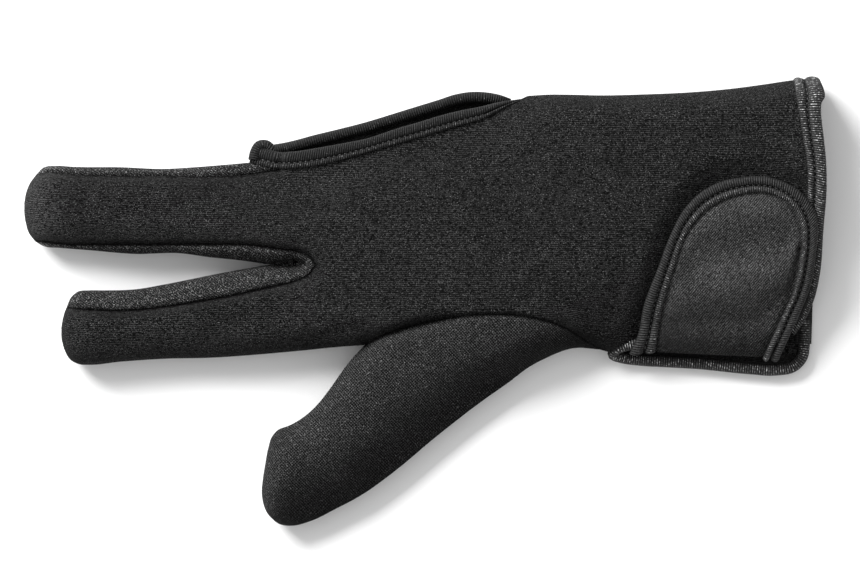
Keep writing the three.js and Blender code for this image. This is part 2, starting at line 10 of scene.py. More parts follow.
import bmesh
import bpy
import numpy as np
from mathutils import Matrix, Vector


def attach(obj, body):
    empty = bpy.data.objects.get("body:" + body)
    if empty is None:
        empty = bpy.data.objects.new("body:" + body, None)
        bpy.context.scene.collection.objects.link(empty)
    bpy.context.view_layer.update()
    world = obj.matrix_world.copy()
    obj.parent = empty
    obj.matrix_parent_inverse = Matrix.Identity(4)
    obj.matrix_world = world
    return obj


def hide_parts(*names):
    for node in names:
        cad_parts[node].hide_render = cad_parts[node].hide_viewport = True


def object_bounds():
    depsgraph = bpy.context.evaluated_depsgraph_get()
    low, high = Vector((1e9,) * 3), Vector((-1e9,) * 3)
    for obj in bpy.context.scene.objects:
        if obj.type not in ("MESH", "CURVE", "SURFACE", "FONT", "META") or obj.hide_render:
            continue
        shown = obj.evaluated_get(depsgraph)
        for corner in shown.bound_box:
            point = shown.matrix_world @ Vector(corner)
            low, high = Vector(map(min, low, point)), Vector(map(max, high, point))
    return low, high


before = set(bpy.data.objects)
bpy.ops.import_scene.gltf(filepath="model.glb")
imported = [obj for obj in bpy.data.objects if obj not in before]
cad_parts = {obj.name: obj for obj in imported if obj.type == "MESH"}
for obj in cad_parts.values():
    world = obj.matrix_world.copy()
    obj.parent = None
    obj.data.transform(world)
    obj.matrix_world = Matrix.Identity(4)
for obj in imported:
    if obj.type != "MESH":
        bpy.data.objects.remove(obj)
cad_low, cad_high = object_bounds()

# Driving sizes, in mm. The frame's own length turns them into metres, so the looks keep to the CAD.
GLOVE_LENGTH = 240.3
METRES = (cad_high.x - cad_low.x) / GLOVE_LENGTH
MIDDLE_X = (cad_low.x + cad_high.x) / 2
MIDDLE_Y = (cad_low.y + cad_high.y) / 2

# The cloth and the glove's side
WALL = 1.3  # thickness of the knit cloth
SEAM_Z = 6.5  # height at which top and underside meet along the sides
FLOOR_GAP = 0.15  # the underside's height above the floor
TOP_ROUND = 10.0  # how far in from the side the top keeps rising
UNDER_ROUND = 6.0  # the same on the underside
FULLNESS = 2.2  # 2 gives an elliptical side, more gives a fuller one
SIDE_PLAY = 0.01  # points this near the side count as on it
LEAST_OPEN = 0.2  # a strip's upper and under cloth keep this far from the side's height
TIP_BLUNT = 0.09  # a finger's strip starts this far inside its tip, where it already has a width
KNUCKLES_X = -32.6  # where the finger stalls run into the hand
KNUCKLE_BLEND = 0.35  # share of the hand's length in which its rows even out
CUFF_BLEND = 0.28  # share of it in which its columns bend to the cuff's edge
FINE = 0.5  # step along the lines that pieces share
BLOCK = 400  # points that are compared with a line at a time

# How full the upper cloth is: X, and its height over the seam there
FULL_HEIGHTS = [
    (-120.0, 6.8), (-80.0, 7.4), (-45.0, 8.0), (-15.0, 9.4), (20.0, 10.3), (80.0, 11.2), (116.0, 12.0),
]
RIM_SLACK = 4.0  # how far it sinks at the near rim of the finger opening
RIM_REACH = 11.0  # over this distance
SLIT_SLACK = 7.0  # how far it sinks at the edge of the slit
SLIT_REACH = 14.0  # over this distance
TAB_PRESS = 3.6  # how far the closing tab presses it down
TAB_REACH = 29.0  # from the tab's middle line, where it starts to fall
TAB_FALL = 9.0  # over this distance

# The thumb
THUMB_Y = -12.0  # from here down the hand's height passes over to the thumb's
THUMB_TURN = 16.0  # over this distance
THUMB_FULL = 9.6  # its full height over the seam
THUMB_BLUNT = 1.3  # its first ring starts this far along its sides
THUMB_FALL = 0.85  # share of its height that it loses towards the cuff's side
THUMB_SLOPE = 10.0  # over this distance
THUMB_SHADE = 0.62  # painted shade: how dark its knit is painted where it turns away from the light to the cuff's side
THUMB_SHADE_REACH = 10.5  # over this distance
THUMB_SHADE_Y = -5.0  # and only from here down

# Sewn seams
SEAM_DEPTH = 1.2  # how deep a seam draws the cloth in
SEAM_SPREAD = 0.85  # half width of that groove
SEAM_SHADE = 0.5  # half width of the painted shade line down in it
SEAM_PAINTED_SHADE = (0.45, 0.9, 0.8, 0.7)  # painted shade in the grooves of the middle finger's two seams, the index finger's, the thumb's
PUCKER = 0.12  # height of the small puckers along a seam
PUCKER_LENGTH = 3.4  # from one to the next
PUCKER_REACH = 2.4  # how far they run out into the cloth
UNDER_SHARE = 0.25  # share of all this that shows on the underside
STRETCH_X = -104.0  # the middle finger's cloth is stretched from here to its tip, and painted brighter there, partly as a highlight
STRETCH_BLEND = 12.0  # over this distance

# Ribbed bindings. Of each bead: where it starts and ends as shares of the band's width, and its height
OPENING_BEADS = [(0.0, 0.63, 1.0), (0.68, 1.0, 0.75)]
CUFF_BEADS = [(0.0, 0.36, 1.0), (0.42, 1.0, 1.2)]
TAB_BEADS = [(0.0, 0.5, 1.2), (0.58, 0.97, 1.2)]
BEAD_POINTS = 9  # points across one bead
RIB_PITCH = 0.7  # distance between the ribs
RIB_DEPTH = 0.2  # how far a rib stands proud
RIB_ROWS = 6  # rows of points in one rib
THIN_END = 0.15  # share of its thickness that a band keeps where it thins out to its end
FAR_RIM_RADIUS = 1.6
SLIT_ROLL_RADIUS = 1.65
SLIT_ROLL_Z = 2.3  # height of its middle along the palm's edge
SLIT_ROLL_DROP = 2.7  # how far its middle stays below the tab's underside
CUFF_END_X = 118.0  # past it the cuff's band keeps the height that the cloth has here
CUFF_UNDER_LIFT = 1.4  # the band's underside lies this far above the under cloth
CUFF_CURL = 5.0  # how far its end rolls down into the slit
CUFF_CURL_STEPS = 18  # the curl fades out over this many steps along the band
STITCH_PITCH = 1.7  # distance between the stitches in a binding's groove
STITCH_LENGTH = 1.0
STITCH_RADIUS = 0.2
PLY = 0.4  # twist of the sewing thread, drawn somewhat coarser than the real 0.25 mm

# The closing tab
TAB_CLOTH = 1.8  # its thickness
TAB_LIFT = 1.3  # its underside above the back panel
TAB_ROOT_Y = -17.2  # it comes out of the slit here
TAB_ROOT_Z = 3.4  # at this height
TAB_CLIMB = 16.0  # and climbs onto the back over this distance
TAB_TOP_Z = 18.6  # the back panel lifts it no higher than this
TAB_TOP = 0.495  # its rows end at this share of its hem, just short of the hem's middle
TAB_WAVE = 1.1  # it lies in shallow waves of this height
TAB_WAVE_LENGTH = 22.0
TAB_WAVE_START = 21.0  # shifts the waves towards the slit
TAB_WAVE_SLANT = 0.2  # how much they slant towards the ring finger
TAB_HEM = 0.3  # its cloth ends this share of the way out under its binding
TAB_DIP = 0.8  # depth and half width of the dip along its binding
TAB_CREASE_DEPTH = 1.3  # of the crease beside its cuff side
TAB_BAND_LIFT = 1.0  # its binding's edges above its underside
TAB_SHADE = 0.55  # painted shade: how dark its cloth is painted towards the slit, where it curves down out of the light

# The photograph's view
PICTURE_WIDTH = 257.4
PICTURE_MIDDLE = (1.6, 4.7, 8.0)  # from the glove's middle to the cuff, to the ring finger, and up

# Lines on the plan, in mm from the middle of the glove: X to the cuff, Y to the ring finger.
MIDDLE_TIP_RING_SIDE = [(-120.0, 28.3), (-119.4, 32.2), (-118.2, 35.2), (-116.3, 37.8)]
MIDDLE_TIP_INDEX_SIDE = [(-120.0, 28.3), (-119.6, 24.2), (-118.6, 20.4), (-116.7, 17.8)]
MIDDLE_SEAM_RING_SIDE = [
    (-116.3, 37.8), (-113.0, 38.3), (-109.2, 38.3), (-103.3, 37.6), (-95.8, 37.3),
    (-79.3, 37.3), (-62.9, 37.1), (-55.4, 37.4), (-48.8, 38.3), (-43.4, 39.2),
]
MIDDLE_SEAM_INDEX_SIDE = [
    (-116.7, 17.8), (-114.0, 17.7), (-109.2, 17.1), (-97.3, 16.8), (-79.3, 16.8),
    (-64.3, 16.8), (-50.9, 16.5), (-43.4, 15.4), (-38.0, 14.7), (-34.4, 13.2), (-32.6, 10.6),
]
INDEX_TIP_MIDDLE_SIDE = [(-108.9, -9.0), (-108.4, -5.8), (-107.9, -3.6), (-107.2, -1.9)]
INDEX_SEAM = [
    (-107.2, -1.9), (-104.8, -2.3), (-98.8, -2.8), (-88.3, -3.0), (-77.8, -1.9), (-67.3, -0.3),
    (-55.4, 1.9), (-46.4, 3.9), (-38.4, 5.9), (-34.4, 7.9), (-32.6, 10.6),
]
INDEX_LOW_EDGE = [
    (-108.9, -9.0), (-108.6, -12.0), (-107.8, -14.9), (-106.1, -17.7), (-103.6, -19.0),
    (-100.3, -19.2), (-91.3, -18.3), (-77.8, -17.4), (-64.3, -17.1), (-50.9, -16.2),
    (-37.4, -15.0), (-23.9, -13.7), (-18.0, -13.3),
]
MIDDLE_RING_EDGE = [
    (-116.3, 37.8), (-114.0, 40.0), (-110.7, 40.4), (-104.8, 40.1), (-91.3, 40.0), (-77.8, 39.5),
    (-68.8, 40.0), (-59.9, 40.7), (-52.0, 41.4),
]
OPENING_CORNER_EDGE = [(-52.0, 41.4), (-48.8, 43.2), (-46.4, 45.0)]
MIDDLE_INDEX_EDGE = [
    (-116.7, 17.8), (-114.0, 16.3), (-109.2, 15.8), (-100.3, 15.1), (-86.8, 14.0), (-73.3, 14.2),
    (-64.3, 13.0), (-55.4, 12.1), (-50.9, 11.5), (-46.4, 10.9), (-42.4, 10.85), (-41.0, 11.3),
    (-39.9, 12.1), (-38.9, 12.1), (-38.0, 11.4), (-37.4, 10.9),
]
INDEX_MIDDLE_EDGE = [
    (-107.2, -1.9), (-105.9, 1.0), (-103.9, 2.7), (-100.3, 3.1), (-95.8, 3.1), (-86.8, 3.4),
    (-77.8, 4.9), (-68.8, 6.7), (-59.9, 8.5), (-55.4, 9.3), (-50.9, 10.1), (-46.4, 10.7),
    (-42.4, 10.75), (-40.0, 10.6), (-38.4, 10.6), (-37.4, 10.9),
]
THUMB_FINGER_EDGE = [
    (-45.8, -65.5), (-47.6, -62.8), (-48.5, -60.0), (-48.8, -57.0), (-48.5, -53.7),
    (-47.8, -49.2), (-46.8, -43.9), (-45.8, -40.8), (-44.1, -38.8), (-40.4, -37.3),
    (-36.5, -35.0), (-32.6, -31.6), (-28.7, -26.8), (-25.1, -21.7), (-21.8, -17.4),
    (-18.0, -13.3),
]
THUMB_CUFF_EDGE = [
    (-45.8, -65.5), (-43.2, -67.0), (-39.8, -67.4), (-34.4, -66.1), (-26.9, -62.5), (-18.9, -58.2),
    (-9.0, -51.1), (3.0, -41.1), (18.0, -29.5), (25.0, -24.6), (31.4, -19.8), (35.9, -17.4),
    (44.9, -14.2), (52.4, -14.6),
]
THUMB_SEAM = [
    (-18.0, -13.3), (-12.0, -10.3), (1.5, -6.4), (16.5, -4.3), (28.4, -4.6), (40.4, -7.6),
    (52.4, -14.6),
]
SLIT_EDGE = [
    (52.4, -14.6), (55.4, -16.0), (61.4, -18.1), (70.3, -18.7), (82.3, -19.6), (97.3, -20.8),
    (109.2, -21.1), (124.2, -21.4), (142.2, -21.7),
]
OPENING_OUTER_EDGE = [
    (-46.4, 45.0), (-40.4, 47.1), (-33.2, 49.1), (-24.2, 51.6), (-12.9, 55.1), (-1.5, 57.9),
    (4.5, 59.9), (10.8, 61.7), (14.7, 62.1), (18.6, 61.7), (22.4, 61.1), (26.9, 61.3),
]
HAND_RING_EDGE = [
    (26.9, 61.3), (31.7, 61.4), (36.2, 61.7), (43.4, 61.7), (52.4, 61.5), (65.8, 61.8), (79.3, 62.4),
    (92.8, 63.6), (101.8, 64.8), (110.7, 66.1), (119.4, 66.7), (130.2, 67.5), (142.2, 68.1),
]
NEAR_RIM = [
    (-52.1, 41.2), (-45.8, 39.7), (-40.7, 39.4), (-35.6, 39.8), (-28.1, 41.2), (-20.7, 43.2),
    (-11.7, 45.8), (-3.0, 48.3), (2.1, 49.8), (11.1, 52.5), (17.4, 54.3), (19.8, 55.5),
    (24.2, 57.9), (28.4, 59.9),
]
NEAR_RIM_LIP = [
    (-50.3, 45.0), (-48.8, 45.8), (-47.0, 45.3), (-44.0, 44.6), (-39.5, 44.6), (-33.2, 45.5),
    (-24.2, 47.1), (-18.0, 48.3), (-8.1, 51.5), (-1.6, 53.4), (4.6, 55.3), (11.0, 56.9),
    (17.2, 58.1), (21.0, 59.1), (24.2, 59.7), (28.6, 60.3),
]
FAR_RIM = [
    (-51.2, 42.1), (-50.7, 44.4), (-49.4, 46.4), (-47.4, 46.5), (-45.8, 45.3), (-43.4, 45.5),
    (-39.5, 46.3), (-33.2, 48.0), (-24.2, 50.2), (-18.0, 51.8), (-12.9, 53.3), (-8.1, 54.8),
    (-1.6, 56.8), (4.6, 58.7), (9.6, 60.3), (14.1, 61.0), (18.0, 60.9), (22.0, 60.2), (25.4, 59.0),
]
SLIT_NEAR_EDGE = [
    (52.4, -14.6), (56.0, -15.0), (58.4, -13.3), (64.3, -12.4), (82.3, -11.8), (100.3, -10.6),
    (107.7, -8.8), (111.3, -6.4),
]
SLIT_CLOTH_EDGE = [
    (52.4, -14.6), (56.5, -15.8), (61.4, -17.3), (70.3, -17.8), (82.3, -18.4), (97.3, -19.4),
    (106.0, -19.6), (116.0, -19.6),
]
CUFF_INNER = [
    (108.0, -6.4), (111.0, -2.2), (112.6, 3.1), (113.6, 10.6), (114.1, 21.1), (114.3, 33.1),
    (114.2, 39.1), (113.5, 45.0), (112.4, 51.0), (111.5, 57.0), (110.8, 61.5), (110.3, 65.7),
]
CUFF_OUTER = [
    (111.0, -10.3), (114.6, -4.6), (116.5, 0.1), (118.2, 8.2), (119.1, 21.1), (119.9, 33.1),
    (119.7, 42.1), (119.1, 48.0), (118.4, 54.0), (118.2, 57.2), (118.5, 59.3), (119.4, 60.6),
    (119.2, 63.0), (118.2, 65.9),
]
CUFF_UNDER_INNER = [(111.5, 65.7), (111.4, 50.0), (111.5, 20.0), (111.5, 0.0), (111.0, -13.0)]
CUFF_UNDER_OUTER = [(118.6, 65.9), (118.0, 58.0), (117.0, 30.0), (116.4, 0.0), (116.0, -13.0)]
PALM_CUFF_EDGE = [
    (113.0, -20.0), (114.4, -14.0), (114.6, 0.0), (115.0, 30.0), (114.0, 55.0), (113.5, 66.0),
]
TAB_INNER = [
    (69.2, -15.1), (71.0, -3.0), (74.6, 10.1), (78.8, 20.8), (84.6, 27.2), (92.6, 31.1),
    (99.9, 32.2), (105.4, 31.0), (109.8, 27.7), (111.9, 23.2), (112.5, 18.4), (112.2, 13.9),
    (109.8, 2.8), (106.2, -5.8), (101.0, -16.9),
]
TAB_OUTER = [
    (61.3, -15.7), (63.9, -9.7), (65.3, -1.9), (69.7, 10.1), (73.4, 19.9), (77.1, 26.9), (82.3, 32.3),
    (88.5, 35.6), (95.0, 36.9), (101.1, 37.1), (107.5, 35.3), (113.0, 31.7), (116.6, 26.6),
    (117.4, 20.8), (116.8, 14.2), (115.6, 5.5), (112.3, -3.7), (108.9, -11.2), (106.2, -17.2),
]
TAB_MIDDLE = [(85.0, -16.0), (90.5, 2.0), (96.0, 16.0)]


def smooth_line(points, spacing=1.0, count=None):
    """A curve through the points: cubic pieces whose slope at each point is the mean of the chords either
    side, weighted by length, then cut again into even steps."""
    points = np.asarray(points, float)
    chord = np.linalg.norm(np.diff(points, axis=0), axis=1)[:, None]
    slope = np.diff(points, axis=0) / chord
    inner = (slope[:-1] * chord[1:] + slope[1:] * chord[:-1]) / (chord[:-1] + chord[1:])
    slope = np.vstack([slope[:1], inner, slope[-1:]])
    steps = np.linspace(0, len(points) - 1, 24 * (len(points) - 1) + 1)
    piece = np.minimum(steps.astype(int), len(points) - 2)
    t = (steps - piece)[:, None]
    a, b, width = points[piece], points[piece + 1], chord[piece]
    curve = (
        a * (1 + 2 * t) * (1 - t) ** 2
        + slope[piece] * width * t * (1 - t) ** 2
        + b * t * t * (3 - 2 * t)
        + slope[piece + 1] * width * t * t * (t - 1)
    )
    along = run_along(curve)
    count = count or max(3, int(along[-1] / spacing) + 1)
    return at_lengths(curve, np.linspace(0, along[-1], count))


def run_along(line):
    """Length walked from the line's start to each of its points."""
    return np.concatenate([[0.0], np.cumsum(np.linalg.norm(np.diff(line, axis=0), axis=1))])


def at_lengths(line, lengths):
    """Points of a line at the given lengths from its start."""
    along = run_along(line)
    return np.stack([np.interp(lengths, along, column) for column in line.T], -1)


def at_x(line, x):
    """The line's Y at each X, for a line that always runs to the right."""
    return np.interp(x, line[:, 0], line[:, 1])


def ease(t):
    """Smooth step: 0 before 0, 1 after 1, level at both ends."""
    t = np.clip(t, 0.0, 1.0)
    return t * t * (3 - 2 * t)


def bell(distance, width):
    """A bell: 1 on a line, about a third at one width from it, and nothing far away."""
    return np.exp(-((distance / width) ** 2))


def swell(t):
    """A rounded side: rises steeply from 0 at t = 0 and is level at 1 from t = 1 on."""
    return (1 - (1 - np.clip(t, 0.0, 1.0)) ** FULLNESS) ** (1 / FULLNESS)


def joined(*lines):
    """One line from several that follow on from each other."""
    return np.vstack([smooth_line(line, FINE) for line in lines])


def nearest(line, x, y):
    """Distance from each plan point to a line, and the length along the line there. Each point is dropped
    square onto the line's short pieces, and the closest drop is kept. Points go in blocks, and pieces too
    far from a block to matter are left out."""
    start = line[:-1, :2]
    step = np.diff(line[:, :2], axis=0)
    size = np.maximum(np.linalg.norm(step, axis=1), 1e-6)
    walked = run_along(line[:, :2])
    found = []
    flat = np.stack([np.ravel(x), np.ravel(y)], -1)
    for block in np.array_split(flat, max(1, len(flat) // BLOCK)):
        centre = block.mean(0)
        reach = np.linalg.norm(block - centre, axis=1).max()
        off = np.linalg.norm(start - centre, axis=1)
        close = np.flatnonzero(off <= off.min() + 2 * reach + size.max())
        away = block[:, None] - start[close]
        share = np.clip((away * step[close]).sum(-1) / size[close] ** 2, 0, 1)
        gap = ((away - share[..., None] * step[close]) ** 2).sum(-1)
        best = gap.argmin(1)
        row = np.arange(len(block))
        along = walked[close[best]] + share[row, best] * size[close[best]]
        found.append(np.stack([np.sqrt(gap[row, best]), along]))
    distance, length = np.concatenate(found, 1)
    return distance.reshape(np.shape(x)), length.reshape(np.shape(x))


outline = joined(
    MIDDLE_TIP_RING_SIDE[::-1], MIDDLE_TIP_INDEX_SIDE, MIDDLE_INDEX_EDGE, INDEX_MIDDLE_EDGE[::-1],
    INDEX_TIP_MIDDLE_SIDE[::-1], INDEX_LOW_EDGE, THUMB_FINGER_EDGE[::-1], THUMB_CUFF_EDGE, SLIT_EDGE,
)
ring_side_outline = joined(MIDDLE_RING_EDGE, OPENING_CORNER_EDGE, OPENING_OUTER_EDGE, HAND_RING_EDGE)
# Lines that the heights and the finish are measured from
near_rim = smooth_line(NEAR_RIM)
thumb_cuff_edge = smooth_line(THUMB_CUFF_EDGE[3:])  # without the tip's round
slit_open_edge = smooth_line(SLIT_NEAR_EDGE)[6:]  # past the slit's blind end
tab_middle = smooth_line(TAB_MIDDLE)
seams = [smooth_line(points, FINE) for points in (
    MIDDLE_SEAM_RING_SIDE, MIDDLE_SEAM_INDEX_SIDE, INDEX_SEAM, THUMB_SEAM,
)]

# Creases that the empty cloth falls into: a line on the plan, its depth and its half width in mm.
CREASES = [
    ([(-19.0, -13.0), (-10.0, -9.8), (2.0, -6.4), (12.0, -5.0)], 2.6, 1.9),
    ([(-47.0, 11.0), (-41.0, 10.9), (-35.2, 10.7)], 4.0, 1.1),
    ([(60.0, 24.0), (60.5, 12.0), (58.0, 2.0), (54.0, -8.0)], 0.8, 4.0),
    ([(52.0, -12.0), (44.0, -3.0), (30.0, 6.0)], 0.9, 4.0),
    ([(86.0, 50.0), (98.0, 45.0), (110.0, 40.0)], 0.7, 4.0),
    ([(6.0, 40.0), (28.0, 44.0), (52.0, 52.0)], 0.6, 5.0),
    ([(-20.0, 24.0), (0.0, 18.0), (26.0, 16.0)], 0.5, 6.0),
    ([(-36.0, -33.0), (-24.0, -36.0), (-12.0, -38.0)], 0.7, 3.5),
    ([(-44.0, -13.6), (-34.0, -12.2), (-24.0, -9.2), (-14.0, -5.5)], 0.9, 2.4),
    ([(-94.0, 22.0), (-86.0, 27.0), (-82.0, 34.0)], 0.35, 3.0),
    ([(-70.0, -12.0), (-58.0, -8.0), (-46.0, -7.0)], 0.4, 3.0),
]
crease_lines = [(smooth_line(points, 1.5), depth, width) for points, depth, width in CREASES]


def drawn_in(x, y):
    """How far seams and creases draw the cloth in: a bell across each line, with small puckers along
    the seams, and creases that fade out at both ends."""
    total = np.zeros(np.shape(x))
    for line in seams:
        distance, length = nearest(line, x, y)
        total = np.maximum(total, SEAM_DEPTH * bell(distance, SEAM_SPREAD))
        total += PUCKER * np.sin(length * 2 * math.pi / PUCKER_LENGTH) * bell(distance, PUCKER_REACH)
    for line, depth, width in crease_lines:
        distance, length = nearest(line, x, y)
        fade = np.sqrt(np.clip(np.sin(math.pi * length / run_along(line)[-1]), 0, 1))
        total += depth * fade * bell(distance, width)
    return total


def ripples(x, y):
    """The soft unevenness of cloth with nothing in it: three long slanting waves, in mm."""
    return (
        0.28 * np.sin(x / 9.0 + y / 21.0)
        + 0.22 * np.sin(x / 17.0 - y / 7.5 + 1.0)
        + 0.14 * np.sin(x / 5.2 + y / 6.1 + 2.0)
    )


def from_side(x, y):
    """Distance from the glove's side, where top and underside meet."""
    distance = np.minimum(nearest(outline, x, y)[0], nearest(ring_side_outline, x, y)[0])
    return np.maximum(distance - SIDE_PLAY, 0.0)


def shade(x, y):
    """The painted light and shade of the knit: painted shade above 0 in a sewn seam's groove, fading over
    half a millimetre, and on the side of the thumb that turns away from the light, and below 0 at the middle
    finger's tip, whose loops are stretched and which is painted brighter, partly as a highlight."""
    # painted shade down in each sewn seam's groove
    dark = [deep * bell(nearest(line, x, y)[0], SEAM_SHADE) for deep, line in zip(SEAM_PAINTED_SHADE, seams)]
    # painted shade on the thumb's side that turns away from the light
    turned = bell(nearest(thumb_cuff_edge, x, y)[0], THUMB_SHADE_REACH)
    turned = turned * ease((THUMB_SHADE_Y - y) / 6.0)
    dark = np.maximum(np.max(dark, axis=0), THUMB_SHADE * turned)
    # stretched loops, painted brighter, partly as a highlight; only on the middle finger, which lies above Y
    # = 10
    stretched = ease((STRETCH_X - x) / STRETCH_BLEND) * ease((y - 10.0) / 5.0)
    return dark - stretched * (1 - dark)


def top_height(x, y):
    """Height of the upper cloth: a swell from the side seam, fullest at the cuff, lower at the slack
    edges of the opening and of the slit, less what seams and creases draw in."""
    on_thumb = ease((THUMB_Y - y) / THUMB_TURN)
    full = np.interp(x, *zip(*FULL_HEIGHTS))
    full += (THUMB_FULL - full) * on_thumb
    full -= RIM_SLACK * bell(nearest(near_rim, x, y)[0], RIM_REACH)
    full -= SLIT_SLACK * bell(nearest(slit_open_edge, x, y)[0], SLIT_REACH)
    full -= TAB_PRESS * ease((TAB_REACH - nearest(tab_middle, x, y)[0]) / TAB_FALL)
    full *= 1 - THUMB_FALL * on_thumb * bell(nearest(thumb_cuff_edge, x, y)[0], THUMB_SLOPE)
    side = swell(from_side(x, y) / TOP_ROUND)
    return SEAM_Z + (full + ripples(x, y)) * side - drawn_in(x, y) * ease(side * 1.6)


def under_height(x, y):
    """Height of the under cloth: it falls from the side seam and then lies flat on the floor."""
    side = swell(from_side(x, y) / UNDER_ROUND)
    return SEAM_Z - (SEAM_Z - FLOOR_GAP) * side + UNDER_SHARE * drawn_in(x, y) * side


def spread(count):
    """Shares from 0 to 1 that crowd together at both ends: mostly a cosine, with an even part."""
    even = np.linspace(0, 1, count)
    return 0.15 * even + 0.85 * (1 - np.cos(even * math.pi)) / 2


def crowded_start(count):
    """Shares from 0 to 1 that crowd together at the start only."""
    even = np.linspace(0, 1, count)
    return 0.15 * even + 0.85 * (1 - np.cos(even * math.pi / 2))


def grid_faces(rows, columns, closed):
    """Four-sided faces between neighbouring points of a grid; closed joins the last column to the first."""
    row, column = np.meshgrid(np.arange(rows - 1), np.arange(columns - (not closed)), indexing="ij")
    beside = (column + 1) % columns
    here, ahead = row * columns, (row + 1) * columns
    corners = [here + column, here + beside, ahead + beside, ahead + column]
    return np.stack(corners, -1).reshape(-1, 4)


def turned_outwards(points, faces, middle):
    """The faces, all turned over if they look towards the middle on the whole."""
    a, b, c, d = (points[faces[:, i]] for i in range(4))
    normal = np.cross(c - a, d - b)
    centre = (a + b + c + d) / 4
    return faces if (normal * (centre - middle)).sum() > 0 else faces[:, ::-1]


def with_ends(grid):
    """The grid of a closed form with one more row at each end, all of whose points lie at its middle."""
    ends = [np.broadcast_to(end.mean(1, keepdims=True), end.shape) for end in (grid[:1], grid[-1:])]
    return np.concatenate([ends[0], grid, ends[1]])


def face_middles(core, columns):
    """For each face of a grid, the middle of its row's stretch of the core line."""
    return np.repeat((core[1:] + core[:-1]) / 2, columns, axis=0)


def make_piece(name, parts, material, nodes, wall=0.0):
    """One object from several grids of points in mm. A part is (grid, closed, middle, thread): middle is a
    point or points that its outer side looks away from, and thread is a value per point that its material
    reads as painted light and shade: a knit's painted shade, or its stretch with a painted highlight, or
    how near a rib's ridge the point lies, which paints the ribs' crests lighter and their hollows darker."""
    points, faces, threads, start = [], [], [], 0
    for grid, closed, middle, thread in parts:
        rows, columns = grid.shape[:2]
        flat = grid.reshape(-1, 3)
        made = grid_faces(rows, columns, closed)
        faces.append(turned_outwards(flat, made, np.asarray(middle, float)) + start)
        points.append(flat)
        threads.append(np.zeros(len(flat)) if thread is None else np.ravel(thread))
        start += len(flat)
    points, faces, threads = np.vstack(points), np.vstack(faces), np.concatenate(threads)
    placed = points * METRES + [MIDDLE_X, MIDDLE_Y, cad_low.z]
    mesh = bpy.data.meshes.new(name)
    mesh.from_pydata(placed.tolist(), [], faces.tolist())
    mesh.attributes.new("thread", "FLOAT", "POINT").data.foreach_set("value", threads)
    shell = bmesh.new()
    shell.from_mesh(mesh)
    bmesh.ops.remove_doubles(shell, verts=shell.verts, dist=1e-6)
    shell.to_mesh(mesh)
    shell.free()
    mesh.polygons.foreach_set("use_smooth", np.ones(len(mesh.polygons), bool))
    mesh.materials.append(material)
    piece = bpy.data.objects.new(name, mesh)
    bpy.context.collection.objects.link(piece)
    if wall:
        cloth = piece.modifiers.new("wall", "SOLIDIFY")
        cloth.thickness = wall * METRES
        cloth.offset = -1
        cloth.use_rim = True
    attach(piece, "root")
    if nodes:
        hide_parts(*nodes)
    return piece


def linear(hex_colour):
    """Linear RGBA of an sRGB hex colour."""
    parts = [int(hex_colour[i : i + 2], 16) / 255 for i in (1, 3, 5)]
    return [p / 12.92 if p <= 0.04045 else ((p + 0.055) / 1.055) ** 2.4 for p in parts] + [1.0]


def add(tree, kind, settings=None, links=None):
    """Adds one shader node. settings names its properties or input sockets, links names input sockets and
    the output that feeds each."""
    made = tree.nodes.new(kind)
    for name, value in (settings or {}).items():
        if isinstance(name, str) and hasattr(made, name):
            setattr(made, name, value)
        else:
            made.inputs[name].default_value = value
    for name, source in (links or {}).items():
        tree.links.new(source, made.inputs[name])
    return made


def start_material(name, roughness):
    """A new material of one roughness: the material itself, its node tree and its shader."""
    material = bpy.data.materials.new(name)
    material.use_nodes = True
    shader = material.node_tree.nodes["Principled BSDF"]
    shader.inputs["Roughness"].default_value = roughness
    return material, material.node_tree, shader


PATTERN_Z = 16.0  # the knit's pattern lies flat at this height, in mm; lower cloth has it pushed outwards
WAVE_TURN = math.pi / 10  # a wave texture of this scale repeats once per unit


